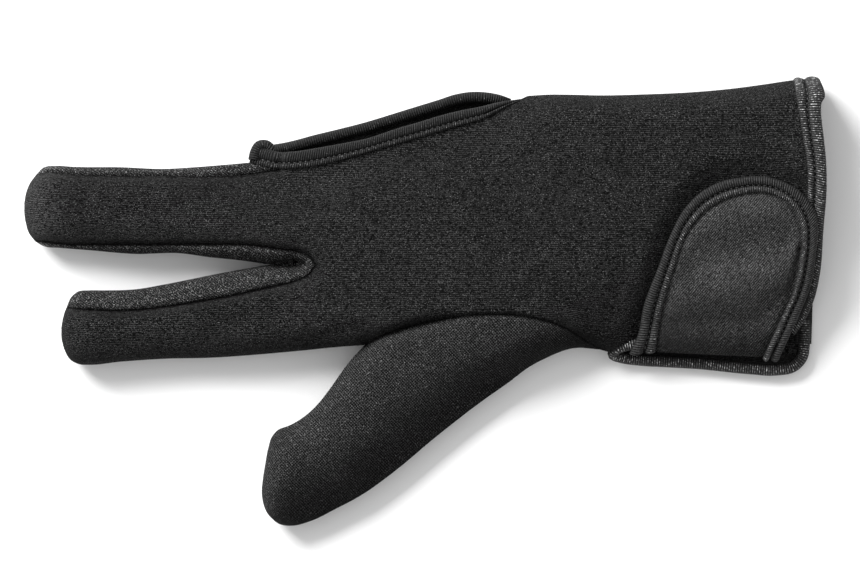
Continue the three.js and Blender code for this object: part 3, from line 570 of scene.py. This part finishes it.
def knit_material(name, dark, light, sparkle, turn, course, dash, dotted, grain, follow):
    """Knitted polyester. Rows of loops run a course apart, broken into dashes of one length or, as far as
    dotted says, crossed by wales into dots. Single bright filaments, of grain size, catch the light on
    them, and the tone changes slowly where the cloth is rubbed. The thread value above 0 is painted shade,
    darkening seam grooves and other sides that turn from the light, and below 0 it brightens stretched
    loops, partly as a painted highlight. As far as follow says, the pattern follows the cloth down steep
    sides: each point takes it from further out along its normal, by as much as it lies lower."""
    material, tree, shader = start_material(name, 0.85)
    shader.inputs["Specular IOR Level"].default_value = 0.04
    place = add(tree, "ShaderNodeTexCoord")
    high = add(tree, "ShaderNodeSeparateXYZ", None, {"Vector": place.outputs["Object"]})
    drop = add(tree, "ShaderNodeMath",
               {"operation": "MULTIPLY_ADD", 1: -follow, 2: follow * PATTERN_Z * METRES},
               {0: high.outputs["Z"]})
    outwards = add(tree, "ShaderNodeVectorMath", {"operation": "SCALE"},
                   {0: place.outputs["Normal"], "Scale": drop.outputs[0]})
    laid_flat = add(tree, "ShaderNodeVectorMath", {"operation": "ADD"},
                    {0: place.outputs["Object"], 1: outwards.outputs["Vector"]})
    in_mm = add(tree, "ShaderNodeMapping",
                {"Scale": (1 / METRES,) * 3, "Rotation": (0, 0, math.radians(turn))},
                {"Vector": laid_flat.outputs["Vector"]})
    on_cloth = {"Vector": in_mm.outputs["Vector"]}
    stretched = add(tree, "ShaderNodeMapping", {"Scale": (1 / dash, 1.6 / course, 1.6 / course)}, on_cloth)
    loops = add(tree, "ShaderNodeTexNoise", {"Scale": 1.0, "Detail": 1.0},
                {"Vector": stretched.outputs["Vector"]})
    dashes = add(tree, "ShaderNodeMapRange", {"From Min": 0.36, "From Max": 0.64},
                 {"Value": loops.outputs["Fac"]})
    wave = {"Scale": WAVE_TURN / course, "Distortion": 0.6, "Detail": 0.0}
    rows = add(tree, "ShaderNodeTexWave", {"bands_direction": "Y", **wave}, on_cloth)
    wales = add(tree, "ShaderNodeTexWave", {"bands_direction": "X", **wave}, on_cloth)
    dots = add(tree, "ShaderNodeMapRange", {"From Min": 0.2, "From Max": 0.8},
               {"Value": wales.outputs["Fac"]})
    broken = add(tree, "ShaderNodeMix", {0: dotted},
                 {2: dashes.outputs["Result"], 3: dots.outputs["Result"]})
    knit = add(tree, "ShaderNodeMath", {"operation": "MULTIPLY"},
               {0: rows.outputs["Fac"], 1: broken.outputs[0]})
    rub = add(tree, "ShaderNodeTexNoise", {"Scale": 0.07, "Detail": 4.0, "Roughness": 0.65}, on_cloth)
    patchy = add(tree, "ShaderNodeMapRange",
                 {"From Min": 0.3, "From Max": 0.7, "To Min": 0.7, "To Max": 1.0},
                 {"Value": rub.outputs["Fac"]})
    tone = add(tree, "ShaderNodeMath", {"operation": "MULTIPLY"},
               {0: knit.outputs[0], 1: patchy.outputs["Result"]})
    cloth = add(tree, "ShaderNodeMix", {"data_type": "RGBA", 6: linear(dark), 7: linear(light)},
                {0: tone.outputs[0]})
    fibres = add(tree, "ShaderNodeTexNoise", {"Scale": 1 / grain, "Detail": 1.0}, on_cloth)
    bright = add(tree, "ShaderNodeMapRange", {"From Min": 0.6, "From Max": 0.78},
                 {"Value": fibres.outputs["Fac"]})
    shown = add(tree, "ShaderNodeMath", {"operation": "MULTIPLY"},
                {0: bright.outputs["Result"], 1: patchy.outputs["Result"]})
    lit = add(tree, "ShaderNodeMix", {"data_type": "RGBA", 7: linear(sparkle)},
              {0: shown.outputs[0], 6: cloth.outputs[2]})
    # the mesh's thread value: painted shade above 0, stretched loops with a painted highlight below 0
    painted_shade_and_stretch = add(tree, "ShaderNodeAttribute", {"attribute_name": "thread"})
    pulled = add(tree, "ShaderNodeMath", {"operation": "MULTIPLY", 1: -0.4}, {0: painted_shade_and_stretch.outputs["Fac"]})
    shiny = add(tree, "ShaderNodeMath", {"operation": "MULTIPLY", "use_clamp": True},
                {0: pulled.outputs[0], 1: knit.outputs[0]})
    opened = add(tree, "ShaderNodeMix", {"data_type": "RGBA", 7: linear(sparkle)},
                 {0: shiny.outputs[0], 6: lit.outputs[2]})
    # painted shade: above 0 the colour goes towards near black
    painted_shade = add(tree, "ShaderNodeMath", {"operation": "MAXIMUM", 1: 0.0}, {0: painted_shade_and_stretch.outputs["Fac"]})
    colour = add(tree, "ShaderNodeMix", {"data_type": "RGBA", 7: linear("#030303")},
                 {0: painted_shade.outputs[0], 6: opened.outputs[2]})
    bump = add(tree, "ShaderNodeBump", {"Strength": 0.5, "Distance": 0.25 * METRES},
               {"Height": knit.outputs[0]})
    tree.links.new(colour.outputs[2], shader.inputs["Base Color"])
    tree.links.new(bump.outputs["Normal"], shader.inputs["Normal"])
    return material


def ribbed_material(name, valley_shade, crest_light, shine):
    """Ribbed elastic binding: painted highlights on the crests of its ribs and painted shade between them,
    drawn by the thread value that the mesh carries, and painted glints of single filaments on them."""
    material, tree, shader = start_material(name, 0.7)
    shader.inputs["Specular IOR Level"].default_value = 0.22
    shader.inputs["Sheen Weight"].default_value = 0.03
    shader.inputs["Sheen Roughness"].default_value = 0.4
    place = add(tree, "ShaderNodeTexCoord")
    in_mm = add(tree, "ShaderNodeMapping", {"Scale": (1 / METRES,) * 3}, {"Vector": place.outputs["Object"]})
    rib = add(tree, "ShaderNodeAttribute", {"attribute_name": "thread"})
    fuzz = add(tree, "ShaderNodeTexNoise", {"Scale": 1.6, "Detail": 2.0, "Roughness": 0.7},
               {"Vector": in_mm.outputs["Vector"]})
    patch = add(tree, "ShaderNodeMapRange",
                {"From Min": 0.35, "From Max": 0.68, "To Min": 0.15, "To Max": 1.0},
                {"Value": fuzz.outputs["Fac"]})
    lit = add(tree, "ShaderNodeMath", {"operation": "MULTIPLY"},
              {0: rib.outputs["Fac"], 1: patch.outputs["Result"]})
    # painted shade in the ribs' hollows, painted highlight on their crests
    cloth = add(tree, "ShaderNodeMix", {"data_type": "RGBA", 6: linear(valley_shade), 7: linear(crest_light)},
                {0: lit.outputs[0]})
    # painted glints where the crests are brightest
    glint = add(tree, "ShaderNodeMapRange", {"From Min": 0.55, "From Max": 0.95}, {"Value": lit.outputs[0]})
    colour = add(tree, "ShaderNodeMix", {"data_type": "RGBA", 7: linear(shine)},
                 {0: glint.outputs["Result"], 6: cloth.outputs[2]})
    bump = add(tree, "ShaderNodeBump", {"Strength": 0.4, "Distance": 0.15 * METRES},
               {"Height": fuzz.outputs["Fac"]})
    tree.links.new(colour.outputs[2], shader.inputs["Base Color"])
    tree.links.new(bump.outputs["Normal"], shader.inputs["Normal"])
    return material


def thread_material(name, dark, light):
    """Glossy polyester sewing thread: two plies, drawn as a fine slanting wave, with a soft sheen."""
    material, tree, shader = start_material(name, 0.45)
    place = add(tree, "ShaderNodeTexCoord")
    in_mm = add(tree, "ShaderNodeMapping", {"Scale": (1 / METRES,) * 3}, {"Vector": place.outputs["Object"]})
    plies = add(tree, "ShaderNodeTexWave", {"bands_direction": "DIAGONAL", "Scale": WAVE_TURN / PLY},
                {"Vector": in_mm.outputs["Vector"]})
    colour = add(tree, "ShaderNodeMix", {"data_type": "RGBA", 6: linear(dark), 7: linear(light)},
                 {0: plies.outputs["Fac"]})
    bump = add(tree, "ShaderNodeBump", {"Strength": 0.4, "Distance": 0.05 * METRES},
               {"Height": plies.outputs["Fac"]})
    tree.links.new(colour.outputs[2], shader.inputs["Base Color"])
    tree.links.new(bump.outputs["Normal"], shader.inputs["Normal"])
    return material


# Fine jersey knit of polyester and elastane: matt black with short bright dashes along the hand.
# Its real courses are about 0.4 mm apart; they are drawn at 0.6 mm so that they show in the render.
jersey = knit_material(
    "jersey_knit_body", dark="#050505", light="#363636", sparkle="#666666", turn=0,
    course=0.6, dash=0.8, dotted=0.0, grain=0.3, follow=1.0,
)
# The same jersey cut across its courses for the side strips: it stretches open and sparkles more. It is
# drawn at 0.62 mm.
side_knit = knit_material(
    "jersey_knit_side_strips", dark="#080808", light="#404040", sparkle="#A8A8A8", turn=35,
    course=0.62, dash=0.7, dotted=0.3, grain=0.3, follow=0.0,
)
# Thumb: the jersey's dotted face set on the bias, which gives close slanting dots, drawn at 0.66 mm.
bias_knit = knit_material(
    "jersey_knit_on_the_bias", dark="#010101", light="#4A4A4A", sparkle="#808080", turn=47,
    course=0.66, dash=0.7, dotted=0.65, grain=0.3, follow=0.3,
)
# Closing tab: brushed loop fabric with a fine slanting twill. The real twill of about 0.35 mm is drawn
# at 0.6 mm.
loop_twill = knit_material(
    "brushed_loop_tab", dark="#080808", light="#606060", sparkle="#888888", turn=-50,
    course=0.6, dash=0.9, dotted=0.35, grain=0.3, follow=0.0,
)
# Ribbed elastic tape, folded over every raw edge: ridges across it with a slight shine. The ribs are
# formed in the mesh, and the material draws the fuzz of its threads, finer than a millimetre, with
# painted highlights and glints on the ribs' crests and painted shade between them.
elastic_tape = ribbed_material("ribbed_elastic_tape", "#020202", "#626262", "#D8D8D8")
# The tape at the finger opening is the same, but duller, because it is stretched flat there: its painted
# highlights and glints on the crests are dimmer.
dull_tape = ribbed_material("ribbed_elastic_tape_dull", "#010101", "#3C3C3C", "#949494")
# Polyester sewing thread: black, with a shine that makes the stitches show in their groove.
sewing_thread = thread_material("polyester_sewing_thread", "#0F0F0F", "#494949")


def between(lower, upper, x, shares):
    """Y at shares of the way from a lower line to an upper one, at each X."""
    low, high = at_x(lower, x), at_x(upper, x)
    return low + (high - low) * shares


def strip_rows(upper, lower, columns, rows):
    """Plan points of a finger's strip, between two lines that run to the right from its tip: rows share
    out the width at each X, columns crowd together at the rounded tip."""
    start = lower[0, 0] + TIP_BLUNT
    x = start + (KNUCKLES_X - start) * crowded_start(columns)
    x = np.broadcast_to(x[:, None], (columns, rows))
    return x, between(lower, upper, x, spread(rows))


def panel_parts(middle_upper, hand_upper, hand_lower, cuff_edge, height, looks_from):
    """A panel of the glove, back or palm: the middle finger's strip, the index finger's strip and the
    hand. The hand's first column has the points at which both strips end, so the three join, and its last
    columns bend to the cuff's edge."""
    middle_lower = joined(MIDDLE_TIP_INDEX_SIDE, MIDDLE_SEAM_INDEX_SIDE)
    index_upper = joined(INDEX_TIP_MIDDLE_SIDE, INDEX_SEAM)
    middle_x, middle_y = strip_rows(middle_upper, middle_lower, columns=110, rows=46)
    index_x, index_y = strip_rows(index_upper, joined(INDEX_LOW_EDGE), columns=100, rows=38)
    first = np.concatenate([index_y[-1], middle_y[-1][1:]])
    first_shares = (first - first[0]) / (first[-1] - first[0])
    columns = 200
    t = np.linspace(0, 1, columns)[:, None]
    shares = first_shares + (spread(len(first)) - first_shares) * ease(t / KNUCKLE_BLEND)
    cuff_x = cuff_edge[:, 0].max()
    straight = KNUCKLES_X + (cuff_x - KNUCKLES_X) * np.broadcast_to(t, (columns, len(first)))
    hand_x = straight
    for _ in range(2):
        # a point's Y is worked out where it stands, and then its X moves to suit the cuff's edge there
        hand_y = between(hand_lower, hand_upper, hand_x, shares)
        bend = np.interp(hand_y, cuff_edge[:, 1], cuff_edge[:, 0]) - cuff_x
        hand_x = straight + bend * ease((t - (1 - CUFF_BLEND)) / CUFF_BLEND)
    hand_y = between(hand_lower, hand_upper, hand_x, shares)
    parts = []
    for x, y in ((middle_x, middle_y), (index_x, index_y), (hand_x, hand_y)):
        parts.append((np.dstack([x, y, height(x, y)]), False, looks_from, shade(x, y)))
    for fingertip, *_ in parts[:2]:
        fingertip[0, :, 2] = SEAM_Z
    return parts


def toward(line_a, line_b, share):
    """A line a share of the way from one line to another, both cut into the same number of steps."""
    a, b = smooth_line(line_a, count=200), smooth_line(line_b, count=200)
    return a + (b - a) * share


# Where the back panel's cloth ends under the bindings, and where the hand's edge leaves them again
rim_cloth_edge = toward(NEAR_RIM, NEAR_RIM_LIP, 0.35)
cuff_cloth_edge = toward(CUFF_INNER, CUFF_OUTER, 0.5)
hand_ring_edge = smooth_line(HAND_RING_EDGE, FINE)[8:]
# What an upper and an under surface look away from
FAR_BELOW = (0.0, 0.0, -4000.0)
FAR_ABOVE = (0.0, 0.0, 4000.0)


def back_panel():
    """The back of the hand with both finger stalls, from the tips to the cuff."""
    rim = rim_cloth_edge[rim_cloth_edge[:, 0] > -42.0]
    middle_upper = np.vstack([joined(MIDDLE_TIP_RING_SIDE, MIDDLE_SEAM_RING_SIDE), rim])
    hand_upper = np.vstack([rim, hand_ring_edge])
    hand_lower = joined(INDEX_LOW_EDGE, THUMB_SEAM, SLIT_NEAR_EDGE)
    parts = panel_parts(middle_upper, hand_upper, hand_lower, cuff_cloth_edge, top_height, FAR_BELOW)
    return make_piece("back_panel_knit", parts, jersey, ["back_panel"], WALL)


def palm_panel():
    """The underside, which runs a little further at the opening and at the slit."""
    corner = [(-60.0, 37.3), (-56.0, 38.5), (-52.0, 41.3), (-47.0, 44.3), (-40.0, 46.2), (-33.2, 47.8)]
    tip, seam = smooth_line(MIDDLE_TIP_RING_SIDE), smooth_line(MIDDLE_SEAM_RING_SIDE)
    middle_upper = np.vstack([tip, seam[seam[:, 0] < -61.0], smooth_line(corner)])
    far_rim = smooth_line(FAR_RIM)
    hand_upper = np.vstack([far_rim[far_rim[:, 0] > -33.5], hand_ring_edge])
    hand_lower = joined(INDEX_LOW_EDGE, THUMB_SEAM, SLIT_CLOTH_EDGE)
    cuff_edge = smooth_line(PALM_CUFF_EDGE)
    parts = panel_parts(middle_upper, hand_upper, hand_lower, cuff_edge, under_height, FAR_ABOVE)
    return make_piece("palm_panel_knit", parts, jersey, ["palm_panel"], WALL)


def wrapped(top_seam, side, under_seam, steps):
    """A strip that wraps round the glove's side: plan points go from the top seam out to the side and back
    to the under seam, by the sine of an angle, on the upper and then the under height."""
    angle = np.linspace(0, math.pi / 2, steps)
    out = np.sin(angle)[None, :, None]
    over = top_seam[:, None] + (side - top_seam)[:, None] * out
    below = under_seam[:, None] + (side - under_seam)[:, None] * out[:, ::-1]
    over = np.dstack([over, top_height(over[..., 0], over[..., 1])])
    below = np.dstack([below, under_height(below[..., 0], below[..., 1])])
    # the side stays a little open, so that upper and under cloth don't fall together in narrow ends
    open_by = LEAST_OPEN * np.cos(angle)
    over[..., 2] = np.maximum(over[..., 2], SEAM_Z + open_by)
    below[..., 2] = np.minimum(below[..., 2], SEAM_Z - open_by[::-1])
    over[:, -1, 2] = below[:, 0, 2] = SEAM_Z
    grid = np.concatenate([over, below[:, 1:]], 1)
    return grid, shade(grid[..., 0], grid[..., 1])


def down_and_back(line_a, line_b):
    """One line down the first and back along the second, which ends at the same point."""
    down, back = (smooth_line(points, count=150) for points in (line_a, line_b))
    return np.vstack([down, back[::-1][1:]])


def finger_gusset():
    """The strip between the fingers: down the middle finger, round the crotch and out along the index."""
    seam = down_and_back(MIDDLE_SEAM_INDEX_SIDE, INDEX_SEAM)
    side = down_and_back(MIDDLE_INDEX_EDGE, INDEX_MIDDLE_EDGE)
    grid, dark = wrapped(seam, side, seam, 16)
    inside = np.column_stack([seam + (seam - side) * 3, np.full(len(seam), SEAM_Z)])
    parts = [(grid, False, face_middles(inside, grid.shape[1] - 1), dark)]
    return make_piece("finger_gusset_knit", parts, side_knit, ["finger_gusset"], WALL)


def outer_gusset():
    """The strip on the middle finger's outer side, from its tip to the opening."""
    steps = 170
    seam = smooth_line(MIDDLE_SEAM_RING_SIDE + [(-41.0, 39.5)], count=steps)
    side = smooth_line(MIDDLE_RING_EDGE, count=steps)
    under_end = [(-60.0, 37.3), (-56.0, 38.5), (-52.0, 41.4)]
    under = smooth_line(MIDDLE_SEAM_RING_SIDE[:6] + under_end, count=steps)
    grid, dark = wrapped(seam, side, under, 14)
    parts = [(grid, False, (-80.0, 27.0, SEAM_Z), dark)]
    return make_piece("outer_gusset_knit", parts, side_knit, ["outer_gusset"], WALL)


def thumb():
    """The thumb stall: closed rings from its tip to its seam on the hand. A ring goes over the top from the
    finger's side to the cuff's side and back below; towards the hand the rings bend onto the seam."""
    rows, half = 130, 56
    t = crowded_start(rows)
    sides = []
    for points in (THUMB_FINGER_EDGE, THUMB_CUFF_EDGE):
        line = smooth_line(points, FINE)
        # the tip's rounded end takes the same share of the rings on both sides
        sides.append(at_lengths(line, THUMB_BLUNT + t * (run_along(line)[-1] - THUMB_BLUNT)))
    finger_side, cuff_side = sides
    share = spread(half)
    arc = smooth_line(THUMB_SEAM, FINE)
    arc = at_lengths(arc, share * run_along(arc)[-1])
    chord = finger_side[-1] + (cuff_side[-1] - finger_side[-1]) * share[:, None]
    bend = (arc - chord)[None] * ease((t - 0.5) / 0.5)[:, None, None]
    plan = finger_side[:, None] + (cuff_side - finger_side)[:, None] * share[None, :, None] + bend
    over = np.dstack([plan, top_height(plan[..., 0], plan[..., 1])])
    below = np.dstack([plan, under_height(plan[..., 0], plan[..., 1])])
    open_by = LEAST_OPEN * np.sqrt(np.sin(math.pi * share))
    over[..., 2] = np.maximum(over[..., 2], SEAM_Z + open_by)
    below[..., 2] = np.minimum(below[..., 2], SEAM_Z - open_by)
    for surface in (over, below):
        surface[:, [0, -1], 2] = SEAM_Z
        surface[0, :, 2] = SEAM_Z
    dark = shade(plan[..., 0], plan[..., 1])
    parts = [(over, False, FAR_BELOW, dark), (below, False, FAR_ABOVE, dark)]
    return make_piece("thumb_knit", parts, bias_knit, ["thumb"], WALL)


def one_long(vectors):
    """The vectors in their own directions, each with a length of 1."""
    return vectors / np.maximum(np.linalg.norm(vectors, axis=1), 1e-9)[:, None]


def band_grid(edge_a, edge_b, beads, under, slant=0.0, taper=0.0, dull=0.0):
    """A ribbed band between two edges in space, edge_b on the right of the way along. Across it, each bead
    (from, to, height) is half an ellipse, and its underside is one shallow half ellipse. Along it, the ribs
    are a cosine wave of the length walked, and over the last stretch, taper, it thins out. Both ends close
    to a point. Its thread value paints the ribs' crests lighter and their hollows darker, as painted
    highlight and shade; towards edge_a the crests lose the share that the last argument gives, as painted
    shade."""
    length = run_along((edge_a + edge_b) / 2)
    walk = np.linspace(0, length[-1], max(8, int(length[-1] / RIB_PITCH * RIB_ROWS)))
    a, b = (
        np.stack([np.interp(walk, length, column) for column in edge.T], -1) for edge in (edge_a, edge_b)
    )
    across = b - a
    up = one_long(np.cross(across, np.gradient((a + b) / 2, axis=0)))
    angle = np.linspace(0, math.pi, BEAD_POINTS)
    share, height, ribbed = [], [], []
    for start, end, tall in beads:
        share.append(start + (end - start) * (1 - np.cos(angle)) / 2)
        height.append(tall * np.sin(angle))
        ribbed.append(np.sin(angle) ** 0.5)
    angle = angle[1:-1]
    share.append((1 + np.cos(angle)) / 2)
    height.append(-under * np.sin(angle))
    ribbed.append(0.4 * np.sin(angle))
    share, height, ribbed = (np.concatenate(v)[None] for v in (share, height, ribbed))
    wave = np.cos(2 * math.pi * (walk[:, None] / RIB_PITCH + slant * share))
    lift = height + RIB_DEPTH * wave * ribbed * np.sign(height + 1e-9)
    if taper:
        lift *= THIN_END + (1 - THIN_END) * ease((length[-1] - walk[:, None]) / taper)
    grid = with_ends(a[:, None] + across[:, None] * share[..., None] + up[:, None] * lift[..., None])
    # painted highlight on the ribs' crests, painted shade in their hollows, and more painted shade towards
    # edge_a
    thread = (0.5 + 0.5 * wave) * ribbed * (1 - dull * (1 - share))
    thread = np.pad(thread, ((1, 1), (0, 0)))
    core = np.concatenate([a[:1], (a + b) / 2 - up * under * 0.2, b[-1:]])
    return grid, True, face_middles(core, grid.shape[1]), thread


def groove(edge_a, edge_b, beads):
    """The line along the groove of a band with two beads."""
    return edge_a + (edge_b - edge_a) * (beads[0][1] + beads[1][0]) / 2


def tube_grid(line, radius, **how):
    """A ribbed tube about a line in space: a band with one round bead above and the same below."""
    way = np.gradient(line, axis=0)
    side = one_long(np.stack([way[:, 1], -way[:, 0]], -1)) * radius
    side = np.column_stack([side, np.zeros(len(line))])
    return band_grid(line - side, line + side, [(0.0, 1.0, radius)], radius, **how)


def lifted(line, heights):
    """The plan line with the heights given at even shares of its length."""
    along = run_along(line) / run_along(line)[-1]
    return np.column_stack([line, np.interp(along, np.linspace(0, 1, len(heights)), heights)])


def stitches(name, line, lift, bare_end):
    """Straight machine stitches along a line in space, lifted above it: each is a small ellipsoid whose
    long axis follows the line. The line's last stretch, bare_end, has none."""
    at = np.arange(STITCH_PITCH, run_along(line)[-1] - bare_end, STITCH_PITCH)
    centre = at_lengths(line, at) + [0, 0, lift]
    way = one_long(at_lengths(line, at + 0.3) - at_lengths(line, at - 0.3))
    side = one_long(np.cross([0.0, 0.0, 1.0], way))
    up = np.cross(way, side)
    polar = np.linspace(0, math.pi, 7)[:, None]
    round_it = np.linspace(0, 2 * math.pi, 8, endpoint=False)
    along = np.cos(polar) * np.ones(len(round_it)) * STITCH_LENGTH / 2
    out = np.sin(polar) * np.cos(round_it) * STITCH_RADIUS
    high = np.sin(polar) * np.sin(round_it) * STITCH_RADIUS
    unit = [v[None, ..., None] for v in (along, out, high)]
    axes = [v[:, None, None] for v in (way, side, up)]
    grids = centre[:, None, None] + sum(u * axis for u, axis in zip(unit, axes))
    parts = [(grid, True, middle, None) for grid, middle in zip(grids, centre)]
    return make_piece(name, parts, sewing_thread, [])


def opening_bindings():
    """Both rims of the ring and little finger opening. The near rim is a broad ribbed band with a narrow
    bead below it; the far rim is a rolled tube that curls up where the two meet at the middle finger."""
    steps = 160
    lower = smooth_line(NEAR_RIM, count=steps)
    upper = smooth_line(NEAR_RIM_LIP, count=steps)
    height = top_height(*lower.T) + SEAM_DEPTH * 0.3
    # the band's start climbs evenly out of the corner at the middle finger
    height[:12] = np.linspace(8.2, height[12], 12)
    lower = np.column_stack([lower, height])
    upper = np.column_stack([upper, height - 0.5])
    band = band_grid(upper, lower, OPENING_BEADS, 0.7, taper=9.0, dull=0.4)
    make_piece("opening_near_rim", [band], dull_tape, ["opening_binding_back"])
    far = smooth_line(FAR_RIM, count=steps)
    far = lifted(far, [8.6, 7.0, 3.4, 2.6, 2.4, 2.4, 2.6, 3.0, 3.6, 4.2, 3.4])
    roll = tube_grid(far, FAR_RIM_RADIUS, taper=5.0, dull=0.5)
    make_piece("opening_far_rim", [roll], dull_tape, ["opening_binding_palm"])
    stitches("opening_stitches", groove(upper, lower, OPENING_BEADS), 0.1, 12.0)


def cuff_binding():
    """The cuff's band with two beads: from the curl at the slit over the back, round the fold at the ring
    finger's side and back along the underside."""
    steps = 90
    # steps close together at the fold, where the height changes fastest
    share = np.linspace(0, 1, steps * 2) ** 0.5
    edges = []
    for above, below in ((CUFF_INNER, CUFF_UNDER_INNER), (CUFF_OUTER, CUFF_UNDER_OUTER)):
        above, below = smooth_line(above, count=steps), smooth_line(below, count=steps)
        above = at_lengths(above, share * run_along(above)[-1])
        below = at_lengths(below, (1 - share[::-1]) * run_along(below)[-1])
        above_z = top_height(np.minimum(above[:, 0], CUFF_END_X), above[:, 1])
        below_z = under_height(np.minimum(below[:, 0], CUFF_END_X), below[:, 1])
        above_z[-1] = below_z[0] = SEAM_Z
        above = np.column_stack([above, above_z])
        below = np.column_stack([below, below_z + CUFF_UNDER_LIFT])
        edges.append(np.vstack([above, below[1:]]))
    inner, outer = edges
    curl = np.exp(-np.arange(len(inner)) / CUFF_CURL_STEPS)[:, None] * [0.0, 0.0, CUFF_CURL]
    band = band_grid(inner - curl * 0.6, outer - curl, CUFF_BEADS, 0.5)
    make_piece("cuff_band", [band], elastic_tape, ["cuff_binding"])
    on_top = len(inner) // 2
    stitches("cuff_stitches", groove(inner, outer, CUFF_BEADS)[:on_top], 0.15, 4.0)


def slit_binding():
    """The rolled edge of the cuff's slit: along the back panel's edge under the tab, round the blind end
    and back along the palm's edge to the cuff's corner."""
    upper = np.array([(108.5, -8.6), (100.3, -10.8), (82.3, -12.0), (68.0, -12.6), (61.0, -13.3)])
    height = np.minimum(top_height(*upper.T) - WALL, tab_height(*upper.T) - SLIT_ROLL_DROP)
    turn = [(57.4, -14.6, 6.2), (56.4, -16.0, 4.6), (59.2, -17.1, 3.0), (64.0, -17.8, 2.3)]
    lower = [
        (72.0, -18.3), (82.3, -18.9), (97.3, -20.4), (105.5, -20.8), (110.7, -19.7), (113.2, -17.0),
        (113.9, -13.0), (114.1, -6.0),
    ]
    lower = np.column_stack([lower, np.full(len(lower), SLIT_ROLL_Z)])
    line = smooth_line(np.vstack([np.column_stack([upper, height]), turn, lower]), 0.6)
    roll = tube_grid(line, SLIT_ROLL_RADIUS, taper=4.0)
    make_piece("slit_edge_roll", [roll], elastic_tape, ["slit_binding"])


def tab_height(x, y):
    """Height of the tab's underside: it climbs out of the slit in a quarter round and then lies on the
    back panel, lifted where it crosses the cuff's band."""
    on_back = top_height(np.minimum(x, 112.0), np.maximum(y, -6.0))
    on_back = np.minimum(on_back, TAB_TOP_Z) + TAB_LIFT
    return TAB_ROOT_Z + (on_back - TAB_ROOT_Z) * swell((y - TAB_ROOT_Y) / TAB_CLIMB)


def tab():
    """The closing tab: a rounded cloth face drawn from side to side in rows that end at its top, and its
    binding, two ribbed bands with a groove between them. The face's height is the underside's plus the
    cloth's thickness and a slanting sine wave, less a bell along the binding and along one crease."""
    inner = smooth_line(TAB_INNER, FINE)
    outer = smooth_line(TAB_OUTER, count=len(inner))
    hem = inner + (outer - inner) * TAB_HEM
    length = run_along(hem)[-1]
    rows, columns = 110, 60
    even = np.linspace(0, 1, rows)
    t = TAB_TOP * (0.2 * even + 0.8 * np.sin(even * math.pi / 2))
    left, right = at_lengths(hem, t * length), at_lengths(hem, (1 - t) * length)
    plan = left[:, None] + (right - left)[:, None] * spread(columns)[None, :, None]
    x, y = plan[..., 0], plan[..., 1]
    inside = nearest(inner, x, y)[0]
    crease = nearest(smooth_line([(111.9, 15.5), (110.6, 9.0), (108.6, 3.0)]), x, y)[0]
    dip = TAB_DIP * bell(inside, TAB_DIP) + TAB_CREASE_DEPTH * bell(crease, TAB_DIP)
    waves = np.sin(((y - TAB_WAVE_SLANT * x) + TAB_WAVE_START) * 2 * math.pi / TAB_WAVE_LENGTH)
    # the waves fade out towards the binding and towards the slit
    waves = TAB_WAVE * waves * ease(inside / 5.0) * ease((y + 13.0) / 8.0)
    under = tab_height(x, y)
    face = np.dstack([x, y, under + TAB_CLOTH + waves - dip])
    lining = np.dstack([x, y, under - 0.1])[:, ::-1]
    around = with_ends(np.concatenate([face, lining], 1))
    middle = face_middles(around.mean(1), around.shape[1])
    # painted shade on the cloth towards the slit, where it curves down out of the light
    dark = TAB_SHADE * ease((-2.0 - y) / 12.0)
    dark = np.pad(np.concatenate([dark, dark[:, ::-1]], 1), ((1, 1), (0, 0)), "edge")
    parts = [(around, True, middle, dark)]
    cloth = make_piece("closing_tab_cloth", parts, loop_twill, ["strap"])
    rims = []
    for points in (TAB_OUTER, TAB_INNER):
        rim = smooth_line(points, count=200)
        rims.append(np.column_stack([rim, tab_height(*rim.T) + TAB_BAND_LIFT]))
    band = band_grid(*rims, TAB_BEADS, 1.2, slant=0.35, dull=0.5)
    binding = make_piece("closing_tab_binding", [band], elastic_tape, ["strap_binding"])
    seam = stitches("closing_tab_stitches", groove(*rims, TAB_BEADS), 0.25, 6.0)


def studio():
    """A pale floor, one broad soft light from the upper left and an even sky. Colours are shown as they
    are, so that the white board comes out white."""
    reach = 3.0
    level = cad_low.z - 0.0004
    corners = [(-reach, -reach), (reach, -reach), (reach, reach), (-reach, reach)]
    mesh = bpy.data.meshes.new("floor")
    mesh.from_pydata([(x, y, level) for x, y in corners], [], [(0, 1, 2, 3)])
    # Matt painted board: an even pale surface without gloss
    board, _, shader = start_material("matt_white_board", 0.9)
    shader.inputs["Base Color"].default_value = linear("#F6F6F6")
    mesh.materials.append(board)
    floor = bpy.data.objects.new("floor", mesh)
    bpy.context.collection.objects.link(floor)
    # metres and watts; the lamp looks at the glove's middle
    lamp = bpy.data.lights.new("key_light", "AREA")
    lamp.size = 0.7
    lamp.energy = 32.6
    holder = bpy.data.objects.new("key_light", lamp)
    holder.location = (-0.7, 0.8, 0.72)
    holder.rotation_euler = (-holder.location).to_track_quat("-Z", "Y").to_euler()
    bpy.context.collection.objects.link(holder)
    world = bpy.data.worlds.new("even_sky")
    world.use_nodes = True
    sky = world.node_tree.nodes["Background"]
    sky.inputs["Color"].default_value = (1, 1, 1, 1)
    sky.inputs["Strength"].default_value = 0.7
    bpy.context.scene.world = world
    bpy.context.scene.view_settings.view_transform = "Standard"


def camera():
    """A camera straight above, as in the photograph, with a very long lens, so that heights hardly shift.
    It stands above the picture's middle, and the picture's width is right at that middle's height."""
    picture_width = PICTURE_WIDTH * METRES
    to_cuff, to_ring_finger, up = (side * METRES for side in PICTURE_MIDDLE)
    seen = bpy.data.cameras.new("camera")
    seen.lens = 400.0
    seen.sensor_width = 36.0
    distance = picture_width / seen.sensor_width * seen.lens
    holder = bpy.data.objects.new("camera", seen)
    holder.location = (MIDDLE_X + to_cuff, MIDDLE_Y + to_ring_finger, distance + up)
    bpy.context.collection.objects.link(holder)
    bpy.context.scene.camera = holder


back_panel()
palm_panel()
finger_gusset()
outer_gusset()
thumb()
opening_bindings()
cuff_binding()
slit_binding()
tab()
studio()
camera()
